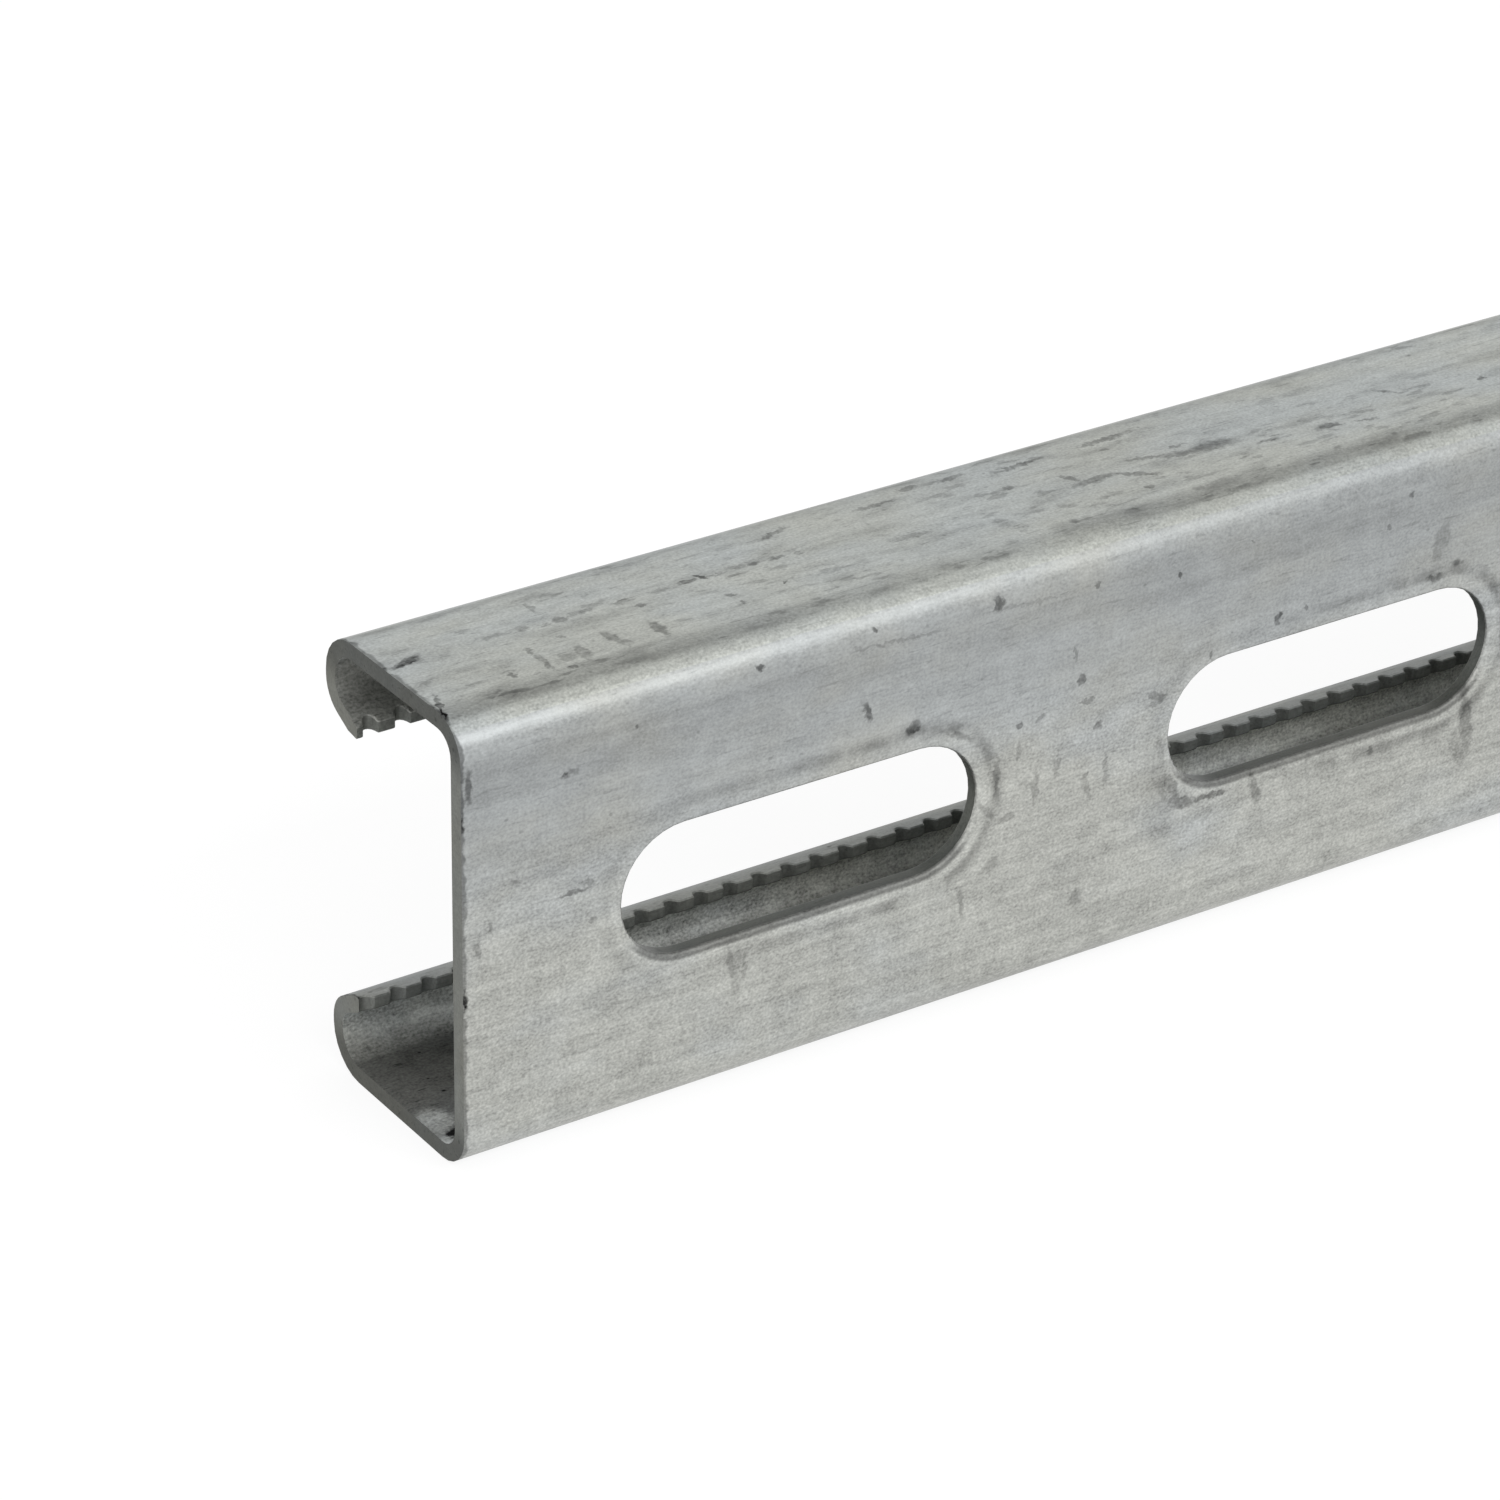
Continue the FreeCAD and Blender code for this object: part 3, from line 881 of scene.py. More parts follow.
MARKS = (
    # On the top, over the first slot and before it: scuffs, stains and short smears.
    Mark(Face.TOP, 0.7, -6.2, 2.0, 0.2, -108, 0.5),
    Mark(Face.TOP, 2.2, 1.4, 1.6, 0.45, 20, 0.6),
    Mark(Face.TOP, 8.1, -5.0, 0.5, 0.25, -60, 0.45),
    Mark(Face.TOP, 10.1, -5.8, 0.4, 0.2, 0, 0.25),
    Mark(Face.TOP, 11.4, -2.2, 0.7, 0.3, -106, 0.42),
    Mark(Face.TOP, 11.5, -4.5, 1.6, 0.3, -89, 0.4),
    Mark(Face.TOP, 12.8, -6.2, 0.5, 0.3, 0, 0.35),
    Mark(Face.TOP, 13.1, 1.3, 0.6, 0.4, 0, 0.25),
    Mark(Face.TOP, 14.8, -1.4, 0.3, 0.25, 0, 0.3),
    Mark(Face.TOP, 14.9, 1.0, 0.4, 0.3, 0, 0.3),
    Mark(Face.TOP, 15.0, -4.5, 1.5, 0.5, -97, 0.3),
    Mark(Face.TOP, 15.4, 4.1, 1, 0.3, -94, 0.3),
    Mark(Face.TOP, 16.3, 1.2, 0.7, 0.5, 0, 0.4),
    Mark(Face.TOP, 18.2, 1.4, 1.4, 0.3, 0, 0.25),
    Mark(Face.TOP, 18.3, -3.8, 1.5, 0.5, -78, 0.36),
    Mark(Face.TOP, 18.7, -4.9, 0.8, 0.6, -93, 0.25),
    Mark(Face.TOP, 22.3, -4.3, 1.5, 0.55, -86, 0.4),
    Mark(Face.TOP, 22.4, 1.2, 1, 0.35, 0, 0.32),
    Mark(Face.TOP, 23.2, -0.1, 0.5, 0.25, 0, 0.35),
    Mark(Face.TOP, 24.8, -4.1, 0.8, 0.3, -10, 0.25),
    Mark(Face.TOP, 25.8, 1.3, 1, 0.35, -2, 0.2),
    Mark(Face.TOP, 28.7, 1.5, 0.9, 0.25, -3, 0.5),
    Mark(Face.TOP, 30.0, 1.7, 0.6, 0.22, -65, 0.6),
    Mark(Face.TOP, 30.4, -2.4, 0.5, 0.3, -20, 0.42),
    Mark(Face.TOP, 30.5, -4.0, 0.3, 0.3, 0, 0.35),
    Mark(Face.TOP, 31.2, 1.3, 1.1, 0.2, -3, 0.25),
    Mark(Face.TOP, 33.4, 1.6, 0.9, 0.3, -7, 0.28),
    Mark(Face.TOP, 35.1, 1.3, 0.6, 0.4, 0, 0.4),
    Mark(Face.TOP, 35.5, -2.8, 0.25, 0.22, 0, 0.5),
    Mark(Face.TOP, 37.3, 1.2, 0.9, 0.3, 7, 0.32),
    Mark(Face.TOP, 39.4, 1.0, 0.4, 0.3, 0, 0.3),
    Mark(Face.TOP, 39.5, 5.1, 1.8, 0.35, 18, 0.38),
    # On the top, from the first slot's far end on: long smears.
    Mark(Face.TOP, 49.0, -1.3, 2.1, 0.4, -1, 0.3),
    Mark(Face.TOP, 49.1, 5.1, 0.4, 0.3, 0, 0.35),
    Mark(Face.TOP, 49.8, 5.1, 2.3, 0.35, 2, 0.34),
    Mark(Face.TOP, 53.9, 6.3, 1.1, 0.35, 4, 0.35),
    Mark(Face.TOP, 56.8, -2.8, 0.6, 0.4, 0, 0.25),
    Mark(Face.TOP, 58.2, 6.0, 1.5, 0.35, 7, 0.34),
    Mark(Face.TOP, 61.1, 1.9, 0.6, 0.35, 0, 0.4),
    Mark(Face.TOP, 64.5, 5.0, 2.4, 0.35, 6, 0.42),
    Mark(Face.TOP, 65.4, -4.6, 1, 0.3, 0, 0.25),
    Mark(Face.TOP, 66.6, 0.7, 1.1, 0.3, -53, 0.38),
    Mark(Face.TOP, 67.9, -3.7, 1.4, 0.4, 5, 0.22),
    Mark(Face.TOP, 68.1, -0.7, 2.4, 0.5, 5, 0.42),
    Mark(Face.TOP, 71.4, -4.3, 0.45, 0.35, 0, 0.42),
    Mark(Face.TOP, 71.8, -1.5, 2.2, 0.35, -32, 0.4),
    Mark(Face.TOP, 73.7, 5.3, 2.9, 0.35, 3, 0.45),
    Mark(Face.TOP, 74.5, 0.5, 2.2, 0.3, -13, 0.36),
    Mark(Face.TOP, 77.5, -0.4, 2.2, 0.5, -10, 0.34),
    Mark(Face.TOP, 78.2, 1.0, 1, 0.25, 0, 0.35),
    Mark(Face.TOP, 80.8, -0.6, 2.5, 0.8, 1, 0.38),
    Mark(Face.TOP, 85.5, -2.2, 1.2, 0.3, 0, 0.3),
    Mark(Face.TOP, 91.8, -2.6, 1.3, 0.45, -2, 0.4),
    Mark(Face.TOP, 95.3, -3.4, 1.3, 0.22, -13, 0.36),
    Mark(Face.TOP, 100.5, 0.1, 1.4, 0.2, -42, 0.3),
    Mark(Face.TOP, 109.4, -2.1, 0.5, 0.35, 0, 0.45),
    # On the web, before the first slot: nicks at the cut edge, scratches and specks.
    Mark(Face.WEB, 0.1, 32.5, 0.25, 0.8, 0, 0.3),
    Mark(Face.WEB, 0.2, 16.5, 0.3, 0.9, 0, 0.45),
    Mark(Face.WEB, 0.7, 35.7, 0.4, 1.5, 0, 0.42),
    Mark(Face.WEB, 1.4, 20.7, 0.8, 0.35, -81, 0.3),
    Mark(Face.WEB, 2.6, 22.3, 0.6, 0.2, -83, 0.28),
    Mark(Face.WEB, 5.0, 25.8, 0.5, 0.2, -3, 0.28),
    Mark(Face.WEB, 9.6, 34.2, 0.28, 0.28, 0, 0.4),
    Mark(Face.WEB, 10.2, 34.3, 0.8, 0.3, 0, 0.25),
    Mark(Face.WEB, 10.3, 23.2, 1.3, 0.22, 1, 0.42),
    Mark(Face.WEB, 11.6, 23.8, 0.7, 0.3, -6, 0.24),
    Mark(Face.WEB, 12.2, 20.2, 0.5, 0.2, 2, 0.3),
    # On the web, round the first slot.
    Mark(Face.WEB, 16.2, 36.5, 0.24, 0.24, 0, 0.35),
    Mark(Face.WEB, 25.5, 12.1, 1.6, 0.35, -82, 0.3),
    Mark(Face.WEB, 25.9, 40.4, 0.2, 0.2, 0, 0.35),
    Mark(Face.WEB, 26.1, 10.8, 2.7, 0.5, -93, 0.16),
    Mark(Face.WEB, 26.9, 11.6, 1.5, 0.25, -91, 0.24),
    Mark(Face.WEB, 28.1, 38.5, 0.34, 0.32, 0, 0.55),
    Mark(Face.WEB, 38.6, 31.6, 1, 0.4, -67, 0.5),
    Mark(Face.WEB, 39.2, 38.9, 0.3, 0.3, 0, 0.5),
    Mark(Face.WEB, 41.2, 37.4, 4.6, 0.18, -3, 0.2),
    Mark(Face.WEB, 43.2, 28.9, 0.9, 0.5, 30, 0.42),
    Mark(Face.WEB, 48.0, 26.7, 1.7, 0.3, -28, 0.24),
    Mark(Face.WEB, 48.6, 10.7, 1.6, 0.35, -79, 0.3),
    Mark(Face.WEB, 50.9, 18.8, 1.5, 0.35, -50, 0.28),
    Mark(Face.WEB, 51.1, 40.9, 0.28, 0.24, 0, 0.35),
    Mark(Face.WEB, 51.5, 38.1, 0.5, 0.7, 0, 0.5),
    Mark(Face.WEB, 51.6, 13.4, 1, 0.5, 26, 0.25),
    Mark(Face.WEB, 51.9, 21.6, 2.3, 0.3, -89, 0.24),
    # On the web, between the first two slots.
    Mark(Face.WEB, 53.0, 17.4, 0.9, 0.35, 10, 0.3),
    Mark(Face.WEB, 54.0, 25.9, 0.28, 0.28, 0, 0.35),
    Mark(Face.WEB, 54.1, 23.6, 1.1, 0.25, -92, 0.22),
    Mark(Face.WEB, 54.1, 25.9, 0.35, 0.3, 0, 0.4),
    Mark(Face.WEB, 54.1, 37.3, 4.4, 0.18, -5, 0.15),
    Mark(Face.WEB, 55.8, 19.2, 1.3, 0.25, -84, 0.26),
    Mark(Face.WEB, 56.0, 19.7, 1.6, 0.3, -94, 0.28),
    Mark(Face.WEB, 56.2, 26.1, 0.55, 0.22, 21, 0.32),
    Mark(Face.WEB, 58.2, 21.3, 1.5, 0.25, -98, 0.2),
    Mark(Face.WEB, 59.6, 31.1, 0.8, 0.18, -86, 0.28),
    Mark(Face.WEB, 60.3, 28.5, 0.4, 0.6, 0, 0.45),
    Mark(Face.WEB, 60.7, 7.4, 0.7, 0.95, 0, 0.32),
    Mark(Face.WEB, 61.0, 26.3, 0.8, 0.25, -6, 0.3),
    Mark(Face.WEB, 61.2, 19.3, 0.3, 0.28, 0, 0.35),
    Mark(Face.WEB, 61.3, 18.1, 1.2, 0.35, -70, 0.25),
    Mark(Face.WEB, 61.6, 37.0, 0.24, 0.24, 0, 0.3),
    Mark(Face.WEB, 62.3, 23.8, 0.5, 0.45, -30, 0.45),
    Mark(Face.WEB, 63.3, 19.2, 1.9, 0.28, -89, 0.25),
    # On the web, round the second slot: stains, drips and specks.
    Mark(Face.WEB, 68.4, 24.7, 1.1, 0.5, -33, 0.36),
    Mark(Face.WEB, 68.4, 24.1, 1, 0.35, 8, 0.32),
    Mark(Face.WEB, 69.0, 14.5, 5.0, 1.6, -80, 0.11),
    Mark(Face.WEB, 69.2, 19.1, 1.6, 0.35, -82, 0.26),
    Mark(Face.WEB, 69.4, 15.3, 1.5, 0.45, -68, 0.3),
    Mark(Face.WEB, 70.3, 35.7, 0.24, 0.24, 0, 0.45),
    Mark(Face.WEB, 70.4, 15.5, 1.7, 0.55, -64, 0.35),
    Mark(Face.WEB, 71.5, 13.6, 1.5, 0.6, -21, 0.42),
    Mark(Face.WEB, 74.0, 27.1, 0.28, 0.28, 0, 0.4),
    Mark(Face.WEB, 74.8, 13.3, 2, 0.28, -5, 0.5),
    Mark(Face.WEB, 77.8, 36.9, 0.2, 0.2, 0, 0.3),
    Mark(Face.WEB, 79.6, 12.6, 1.7, 0.5, -72, 0.34),
    Mark(Face.WEB, 81.1, 28.7, 0.4, 0.5, 0, 0.55),
    Mark(Face.WEB, 84.1, 28.9, 0.24, 0.28, 0, 0.4),
    Mark(Face.WEB, 86.0, 13.3, 7.5, 0.5, 0, 0.14),
    Mark(Face.WEB, 92.5, 12.6, 0.35, 0.5, 0, 0.3),
    Mark(Face.WEB, 92.8, 34.2, 0.24, 0.24, 0, 0.3),
    Mark(Face.WEB, 95.0, 36.9, 0.24, 0.28, 0, 0.4),
    Mark(Face.WEB, 98.3, 27.9, 1, 0.4, 1, 0.42),
    Mark(Face.WEB, 98.8, 31.4, 2.1, 0.8, -107, 0.2),
    Mark(Face.WEB, 102.5, 9.9, 2, 0.7, -65, 0.24),
    Mark(Face.WEB, 103.2, 12.5, 3.5, 0.75, -83, 0.36),
    # On the lower flange, inside the near end: a pale patch of painted reflection, and a dark
    # lump.
    Mark(Face.FLOOR, 1.2, -4.0, 1.6, 2.0, 0, -0.45),
    Mark(Face.FLOOR, 1.9, -6.6, 1.1, 1.1, 0, 0.85),
)


@dataclass(frozen=True)
class MarkEdges:
    """How the placed marks fray, fade out and break up."""

    fray_scale: float = 1.6
    fray_detail: float = 4.0
    fray_width: float = 1.2
    fade_start: float = 0.6
    fade_end: float = 1.3
    broken: Noise = Noise(2.2, 3.0, offset=41.0)
    broken_share: Ramp = Ramp(0.35, 0.6, 0.75, 1.1)


@dataclass(frozen=True)
class SlotRing:
    """A pale rim, a painted sheen of the rolled edge, in a stained ring round each slot, with
    painted shade on the lower rim. Gaps are from the slot's wall, in millimetres."""

    stain: float = 0.32
    stain_start: Ramp = Ramp(1.1, 1.7)
    stain_end: Ramp = Ramp(3.0, 1.8)
    # The stain grows from a slot's near end to its far end.
    along: Ramp = Ramp(-14.0, 13.0, 0.25, 1.0)
    blotch: Noise = Noise(0.35, 4.0, offset=31.0)
    blotch_share: Ramp = Ramp(0.35, 0.6, 0.2, 1.15)
    # The pale rim is a painted sheen of the rolled edge.
    pale: float = 0.06
    pale_end: Ramp = Ramp(1.4, 0.7)
    # A slot's lower rim, which looks up at the lamp, is darkened with painted shade to tone down
    # its highlight.
    low_rim_shade: float = 0.58
    low_rim_end: Ramp = Ramp(0.8, 0.4)
    low_rim_height: Ramp = Ramp(-3.0, -5.0)
    # How far in from the web's outer face all of it ends.
    depth: Ramp = Ramp(0.9, 0.6)


@dataclass(frozen=True)
class Band:
    """A band along the channel, darker than the rest or, below 0, paler; most bands are painted
    shade, painted reflection or painted light. Its edges are given across the channel, up from its
    foot or off its middle height, in millimetres."""

    dark: float
    across: tuple[Ramp, ...] = ()
    up: tuple[Ramp, ...] = ()
    off_middle: tuple[Ramp, ...] = ()
    patchy: bool = False


PATCHY_NOISE = Noise(0.08, 3.0, (0.5, 1, 1), offset=53.0)
PATCHY_SHARE = Ramp(0.35, 0.65, 0.6, 1.0)

BANDS: dict[Finish, tuple[Band, ...]] = {
    Finish.OUTSIDE: (
        # Painted dark reflection beside the upper bend, a darker band over the far bend, and
        # painted shade on the lips.
        Band(0.33, across=(Ramp(-8.9, -8.1), Ramp(-5.6, -7.6)), up=(Ramp(39.3, 40.2),),
             patchy=True),
        Band(0.18, across=(Ramp(5.6, 7.6),), up=(Ramp(38.0, 39.5),)),
        Band(0.41, across=(Ramp(4.0, 5.0),), off_middle=(Ramp(16.2, 15.6),)),
    ),
    Finish.WEB: (
        # The web's upper half, darker, and a strip of painted dark reflection under its upper
        # bend.
        Band(0.1, up=(Ramp(19.0, 33.0),)),
        Band(0.11, up=(Ramp(32.5, 35.0), Ramp(38.2, 36.6)), patchy=True),
    ),
    Finish.INSIDE: (
        # Painted shade in the lower lip's corner, on the lower flange and on the upper side, and
        # painted light on the lower lip's face.
        Band(0.35, across=(Ramp(6.5, 8.0),), up=(Ramp(3.4, 2.4),)),
        Band(0.7, across=(Ramp(8.0, 6.5), Ramp(-8.0, -5.0)), up=(Ramp(2.4, 1.7),)),
        Band(0.45, up=(Ramp(32.0, 35.0),)),
        Band(-0.3, across=(Ramp(4.0, 6.0),), up=(Ramp(3.4, 4.4), Ramp(14.0, 12.0))),
    ),
    Finish.CUT_END: (Band(0.4, off_middle=(Ramp(15.0, 18.5),)),),
}


@dataclass(frozen=True)
class Flecks:
    """Smears on the upper flange and the torn burr line at the cut ends."""

    smear: float = 0.26
    short: Noise = Noise(1.0, 4.0, (0.4, 1, 1), offset=71.0)
    short_share: Ramp = Ramp(0.555, 0.67)
    crowd: Noise = Noise(0.12, 2.0, (0.5, 1, 1), offset=83.0)
    crowd_share: Ramp = Ramp(0.4, 0.56)
    wide: Noise = Noise(0.5, 5.0, (0.32, 1, 1), offset=75.0)
    wide_share: Ramp = Ramp(0.5, 0.7, 0.0, 0.8)
    top_only: Ramp = Ramp(40.6, 40.9)
    burr: float = 0.45
    burr_edge: Ramp = Ramp(-0.1, -0.4)
    torn: Noise = Noise(0.9, 4.0, offset=97.0)
    torn_width: float = 1.1


@dataclass(frozen=True)
class SheetPattern:
    """The patterns that all of the sheet's finishes share."""

    clouds: Noise = Noise(0.05, 4.0, (0.45, 1, 1))
    patches: Noise = Noise(0.11, 3.0, (0.5, 1, 1), offset=17.0)
    blotches: Noise = Noise(0.5, 5.0, (0.75, 1, 1), offset=23.0)
    streaks: Noise = Noise(1.3, 5.0, (0.05, 1, 1), offset=5.0, swirl=0.15)
    lines: Noise = Noise(4.5, 3.0, (0.12, 1, 1), offset=9.0)
    strokes: Noise = Noise(1.2, 3.0, (1, 1, 0.3), offset=45.0)
    grain: Noise = Noise(4.6, 5.0, (0.8, 1, 1), offset=3.0)
    nicks: Noise = Noise(2.4, 3.0, (0.14, 1, 1), offset=61.0, swirl=0.4)
    nick_edge: Ramp = Ramp(0.64, 0.7)
    large_specks: Specks = Specks(0.26, 0.14)
    small_specks: Specks = Specks(0.9, 0.22)
    # How strong the fine lines are beside the streaks, and the small specks beside the large.
    line_share: float = 0.7
    small_share: float = 0.5
    # The lower half of the web is the rougher one to look at, and the warmer one.
    web_texture: Ramp = Ramp(22.0, 32.0, 1.3, 0.8)
    web_warmth: Ramp = Ramp(14.0, 34.0, -0.12, 0.12)
    tint_edge: Ramp = Ramp(0.3, 0.65)
    cool: Colour = (0.97, 1.0, 1.03, 1.0)
    warm: Colour = (1.0, 1.0, 0.965, 1.0)
    grain_roughness: Ramp = Ramp(0.3, 0.7, -0.04, 0.06)
    dark_roughness: float = 0.3
    grain_relief: float = 0.6
    line_relief: float = 0.4
    # In metres.
    relief_depth: float = 0.00005


@dataclass(frozen=True)
class ZincFinish:
    """Dull galvanised sheet: a grey tone with clouds, rolling streaks, grain and specks."""

    finish: Finish
    tone: Colour
    roughness: float = 0.41
    metal: float = 0.85
    cloud: float = 0.12
    blotch: float = 0.15
    streak: float = 0.18
    stroke: float = 0.1
    grain: float = 0.52
    speck: float = 0.42
    scratch: float = 0.18
    bump: float = 0.3

    PATTERN: ClassVar[SheetPattern] = SheetPattern()
    MARKED: ClassVar[dict[Finish, Face]] = {
        Finish.OUTSIDE: Face.TOP, Finish.WEB: Face.WEB, Finish.INSIDE: Face.FLOOR}

    def marks(self, graph: Graph, place: bpy.types.NodeSocket) -> Value:
        """How dark the placed marks are here, on the finishes that have any.

        Args:
            graph: The material's nodes.
            place: The position in millimetres.

        Returns:
            The share of its brightness that the metal loses.
        """
        here = [mark for mark in MARKS if mark.face is self.MARKED.get(self.finish)]
        if not here:
            return 0.0
        edges = MarkEdges()
        frayed = graph.frayed(place, edges.fray_scale, edges.fray_detail, edges.fray_width)
        total: Value = 0.0
        # The darkest of the dark marks counts, and the pale ones are then taken off it.
        for mark in sorted(here, key=lambda mark: -mark.dark):
            node = graph.add("ShaderNodeMapping", vector_type="TEXTURE")
            graph.put(node.inputs["Vector"], frayed)
            for name, value in zip(("Location", "Rotation", "Scale"), mark.placing()):
                node.inputs[name].default_value = value
            reach = graph.vector("LENGTH", node.outputs[0], out="Value")
            dark = graph.remap(reach, Ramp(edges.fade_end, edges.fade_start, 0.0, mark.dark))
            total = graph.math("MAXIMUM" if mark.dark > 0 else "ADD", total, dark)
        broken = graph.remap(graph.noise(place, edges.broken), edges.broken_share)
        return graph.math("MULTIPLY", total, broken)

    @staticmethod
    def slot_gap(graph: Graph, x: Value, up: Value) -> tuple[Value, Value]:
        """How far the nearest slot is.

        Args:
            graph: The material's nodes.
            x: The place along the channel, in millimetres.
            up: The height above the slots' middle line.

        Returns:
            The place along from the slot's middle, and the gap to its wall.
        """
        row = SlotRow()
        first = StrutChannel.length / 2 - row.end_margin - row.length / 2
        along = graph.math("ADD", x, first + row.pitch / 2)
        along = graph.math("FLOORED_MODULO", along, row.pitch)
        along = graph.math("SUBTRACT", along, row.pitch / 2)
        past = graph.math("SUBTRACT", graph.math("ABSOLUTE", along), (row.length - row.width) / 2)
        past = graph.math("MAXIMUM", past, 0.0)
        reach = graph.math("SQRT", graph.math("ADD", graph.product(past, past),
                                              graph.product(up, up)))
        return along, graph.math("SUBTRACT", reach, row.width / 2)

    def slot_rings(self, graph: Graph, place: bpy.types.NodeSocket) -> Value:
        """How much darker the web is round each slot: a stain, a pale painted sheen on the rim and
        painted shade on the lower rim.

        Args:
            graph: The material's nodes.
            place: The position in millimetres.

        Returns:
            The share of its brightness that the metal loses.
        """
        if self.finish is not Finish.WEB:
            return 0.0
        ring = SlotRing()
        x, y, z = graph.split(place)
        up = graph.math("SUBTRACT", z, Section.height / 2)
        along, gap = self.slot_gap(graph, x, up)
        stain = graph.product(
            graph.remap(gap, ring.stain_start), graph.remap(gap, ring.stain_end),
            graph.remap(along, ring.along),
            graph.remap(graph.noise(place, ring.blotch), ring.blotch_share), ring.stain)
        # A pale painted sheen on the rim, and painted shade on the lower rim that looks up at the
        # lamp.
        pale = graph.product(graph.remap(gap, ring.pale_end), ring.pale)
        low_rim_shade = graph.product(graph.remap(gap, ring.low_rim_end),
                                graph.remap(up, ring.low_rim_height), ring.low_rim_shade)
        dark = graph.math("ADD", graph.math("SUBTRACT", stain, pale), low_rim_shade)
        inwards = graph.math("SUBTRACT", y, Section().outside)
        return graph.product(dark, graph.remap(inwards, ring.depth))

    def bands_and_painted_shade(self, graph: Graph, place: bpy.types.NodeSocket) -> Value:
        """How much darker the bands that run along the channel are, most of them painted shade and
        painted reflection on the bends, the lips and the inside.

        Args:
            graph: The material's nodes.
            place: The position in millimetres.

        Returns:
            The share of its brightness that the metal loses.
        """
        _, y, z = graph.split(place)
        off_middle = graph.math("ABSOLUTE", graph.math("SUBTRACT", z, Section.height / 2))
        patchy = graph.remap(graph.noise(place, PATCHY_NOISE), PATCHY_SHARE)
        total: Value = 0.0
        for band in BANDS.get(self.finish, ()):
            parts = [graph.remap(y, edge) for edge in band.across]
            parts += [graph.remap(z, edge) for edge in band.up]
            parts += [graph.remap(off_middle, edge) for edge in band.off_middle]
            if band.patchy:
                parts.append(patchy)
            total = graph.math("ADD", total, graph.product(*parts, band.dark))
        return total

    def flecks(self, graph: Graph, place: bpy.types.NodeSocket) -> Value:
        """How much darker the smears on the upper flange and the cut ends' burr lines are.

        Args:
            graph: The material's nodes.
            place: The position in millimetres.

        Returns:
            The share of its brightness that the metal loses.
        """
        if self.finish not in (Finish.OUTSIDE, Finish.WEB):
            return 0.0
        flecks = Flecks()
        x, _, z = graph.split(place)
        short = graph.product(graph.remap(graph.noise(place, flecks.short), flecks.short_share),
                              graph.remap(graph.noise(place, flecks.crowd), flecks.crowd_share))
        wide = graph.remap(graph.noise(place, flecks.wide), flecks.wide_share)
        smears = graph.product(graph.math("ADD", short, wide),
                               graph.remap(z, flecks.top_only), flecks.smear)
        from_end = graph.math("SUBTRACT", StrutChannel.length / 2, graph.math("ABSOLUTE", x))
        torn = graph.product(graph.noise(place, flecks.torn), flecks.torn_width)
        burr = graph.remap(graph.math("SUBTRACT", from_end, torn), flecks.burr_edge)
        return graph.math("ADD", smears, graph.product(burr, flecks.burr))

    def texture(self, graph: Graph, place: bpy.types.NodeSocket, lines: Value,
                grain: Value) -> Value:
        """How much paler the metal is for its clouds, streaks and grain.

        Args:
            graph: The material's nodes.
            place: The position in millimetres.
            lines: The fine rolling lines, which the relief uses too.
            grain: The grain, which the relief uses too.

        Returns:
            The share to add to the tone, below 0 where the metal is darker.
        """
        pattern = self.PATTERN
        total: Value = 0.0
        for layer, strength in ((graph.noise(place, pattern.clouds), self.cloud),
                                (graph.noise(place, pattern.blotches), self.blotch),
                                (graph.noise(place, pattern.streaks), self.streak),
                                (lines, self.streak * pattern.line_share),
                                (graph.noise(place, pattern.strokes), self.stroke),
                                (grain, self.grain)):
            wave = graph.math("SUBTRACT", layer, NOISE_MIDDLE)
            total = graph.math("ADD", total, graph.math("MULTIPLY", wave, strength * 2))
        if self.finish is Finish.WEB:
            share = graph.remap(graph.split(place)[2], pattern.web_texture)
            total = graph.math("MULTIPLY", total, share)
        return total

    def darkening(self, graph: Graph, place: bpy.types.NodeSocket) -> Value:
        """The share of its brightness that the metal loses to marks, to the bands and slot rings,
        which hold painted shade, and to specks and nicks.

        Args:
            graph: The material's nodes.
            place: The position in millimetres.

        Returns:
            The share, below 0 where the metal is paler.
        """
        pattern = self.PATTERN
        total: Value = 0.0
        for dark in (self.marks(graph, place), self.slot_rings(graph, place),
                     self.bands_and_painted_shade(graph, place), self.flecks(graph, place)):
            total = graph.math("ADD", total, dark)
        nicks = graph.remap(graph.noise(place, pattern.nicks), pattern.nick_edge)
        for layer, strength in (
                (graph.specks(place, pattern.large_specks), self.speck),
                (graph.specks(place, pattern.small_specks), self.speck * pattern.small_share),
                (nicks, self.scratch)):
            total = graph.math("ADD", total, graph.math("MULTIPLY", layer, strength))
        return total

    def tint(self, graph: Graph, place: bpy.types.NodeSocket) -> bpy.types.NodeSocket:
        """The finish's tone with its cool and warm patches.

        Args:
            graph: The material's nodes.
            place: The position in millimetres.

        Returns:
            The colour.
        """
        pattern = self.PATTERN
        warmth: Value = graph.noise(place, pattern.patches)
        if self.finish is Finish.WEB:
            height = graph.split(place)[2]
            warmth = graph.math("SUBTRACT", warmth, graph.remap(height, pattern.web_warmth))
        tint = graph.mix(graph.remap(warmth, pattern.tint_edge), pattern.cool, pattern.warm)
        return graph.mix(1.0, self.tone, tint, "MULTIPLY")

    def build(self) -> bpy.types.Material:
        """Fills this finish's material with its nodes.

        Returns:
            The material.
        """
        pattern = self.PATTERN
        material = blank_material(self.finish)
        material.use_nodes = True
        graph = Graph(material.node_tree)
        place = graph.millimetres()
        lines = graph.noise(place, pattern.lines)
        grain = graph.noise(place, pattern.grain)
        dark = self.darkening(graph, place)
        level = graph.math("MULTIPLY",
                           graph.math("ADD", self.texture(graph, place, lines, grain), 1.0),
                           graph.math("SUBTRACT", 1.0, dark))
        colour = graph.mix(1.0, self.tint(graph, place), graph.grey(level), "MULTIPLY")

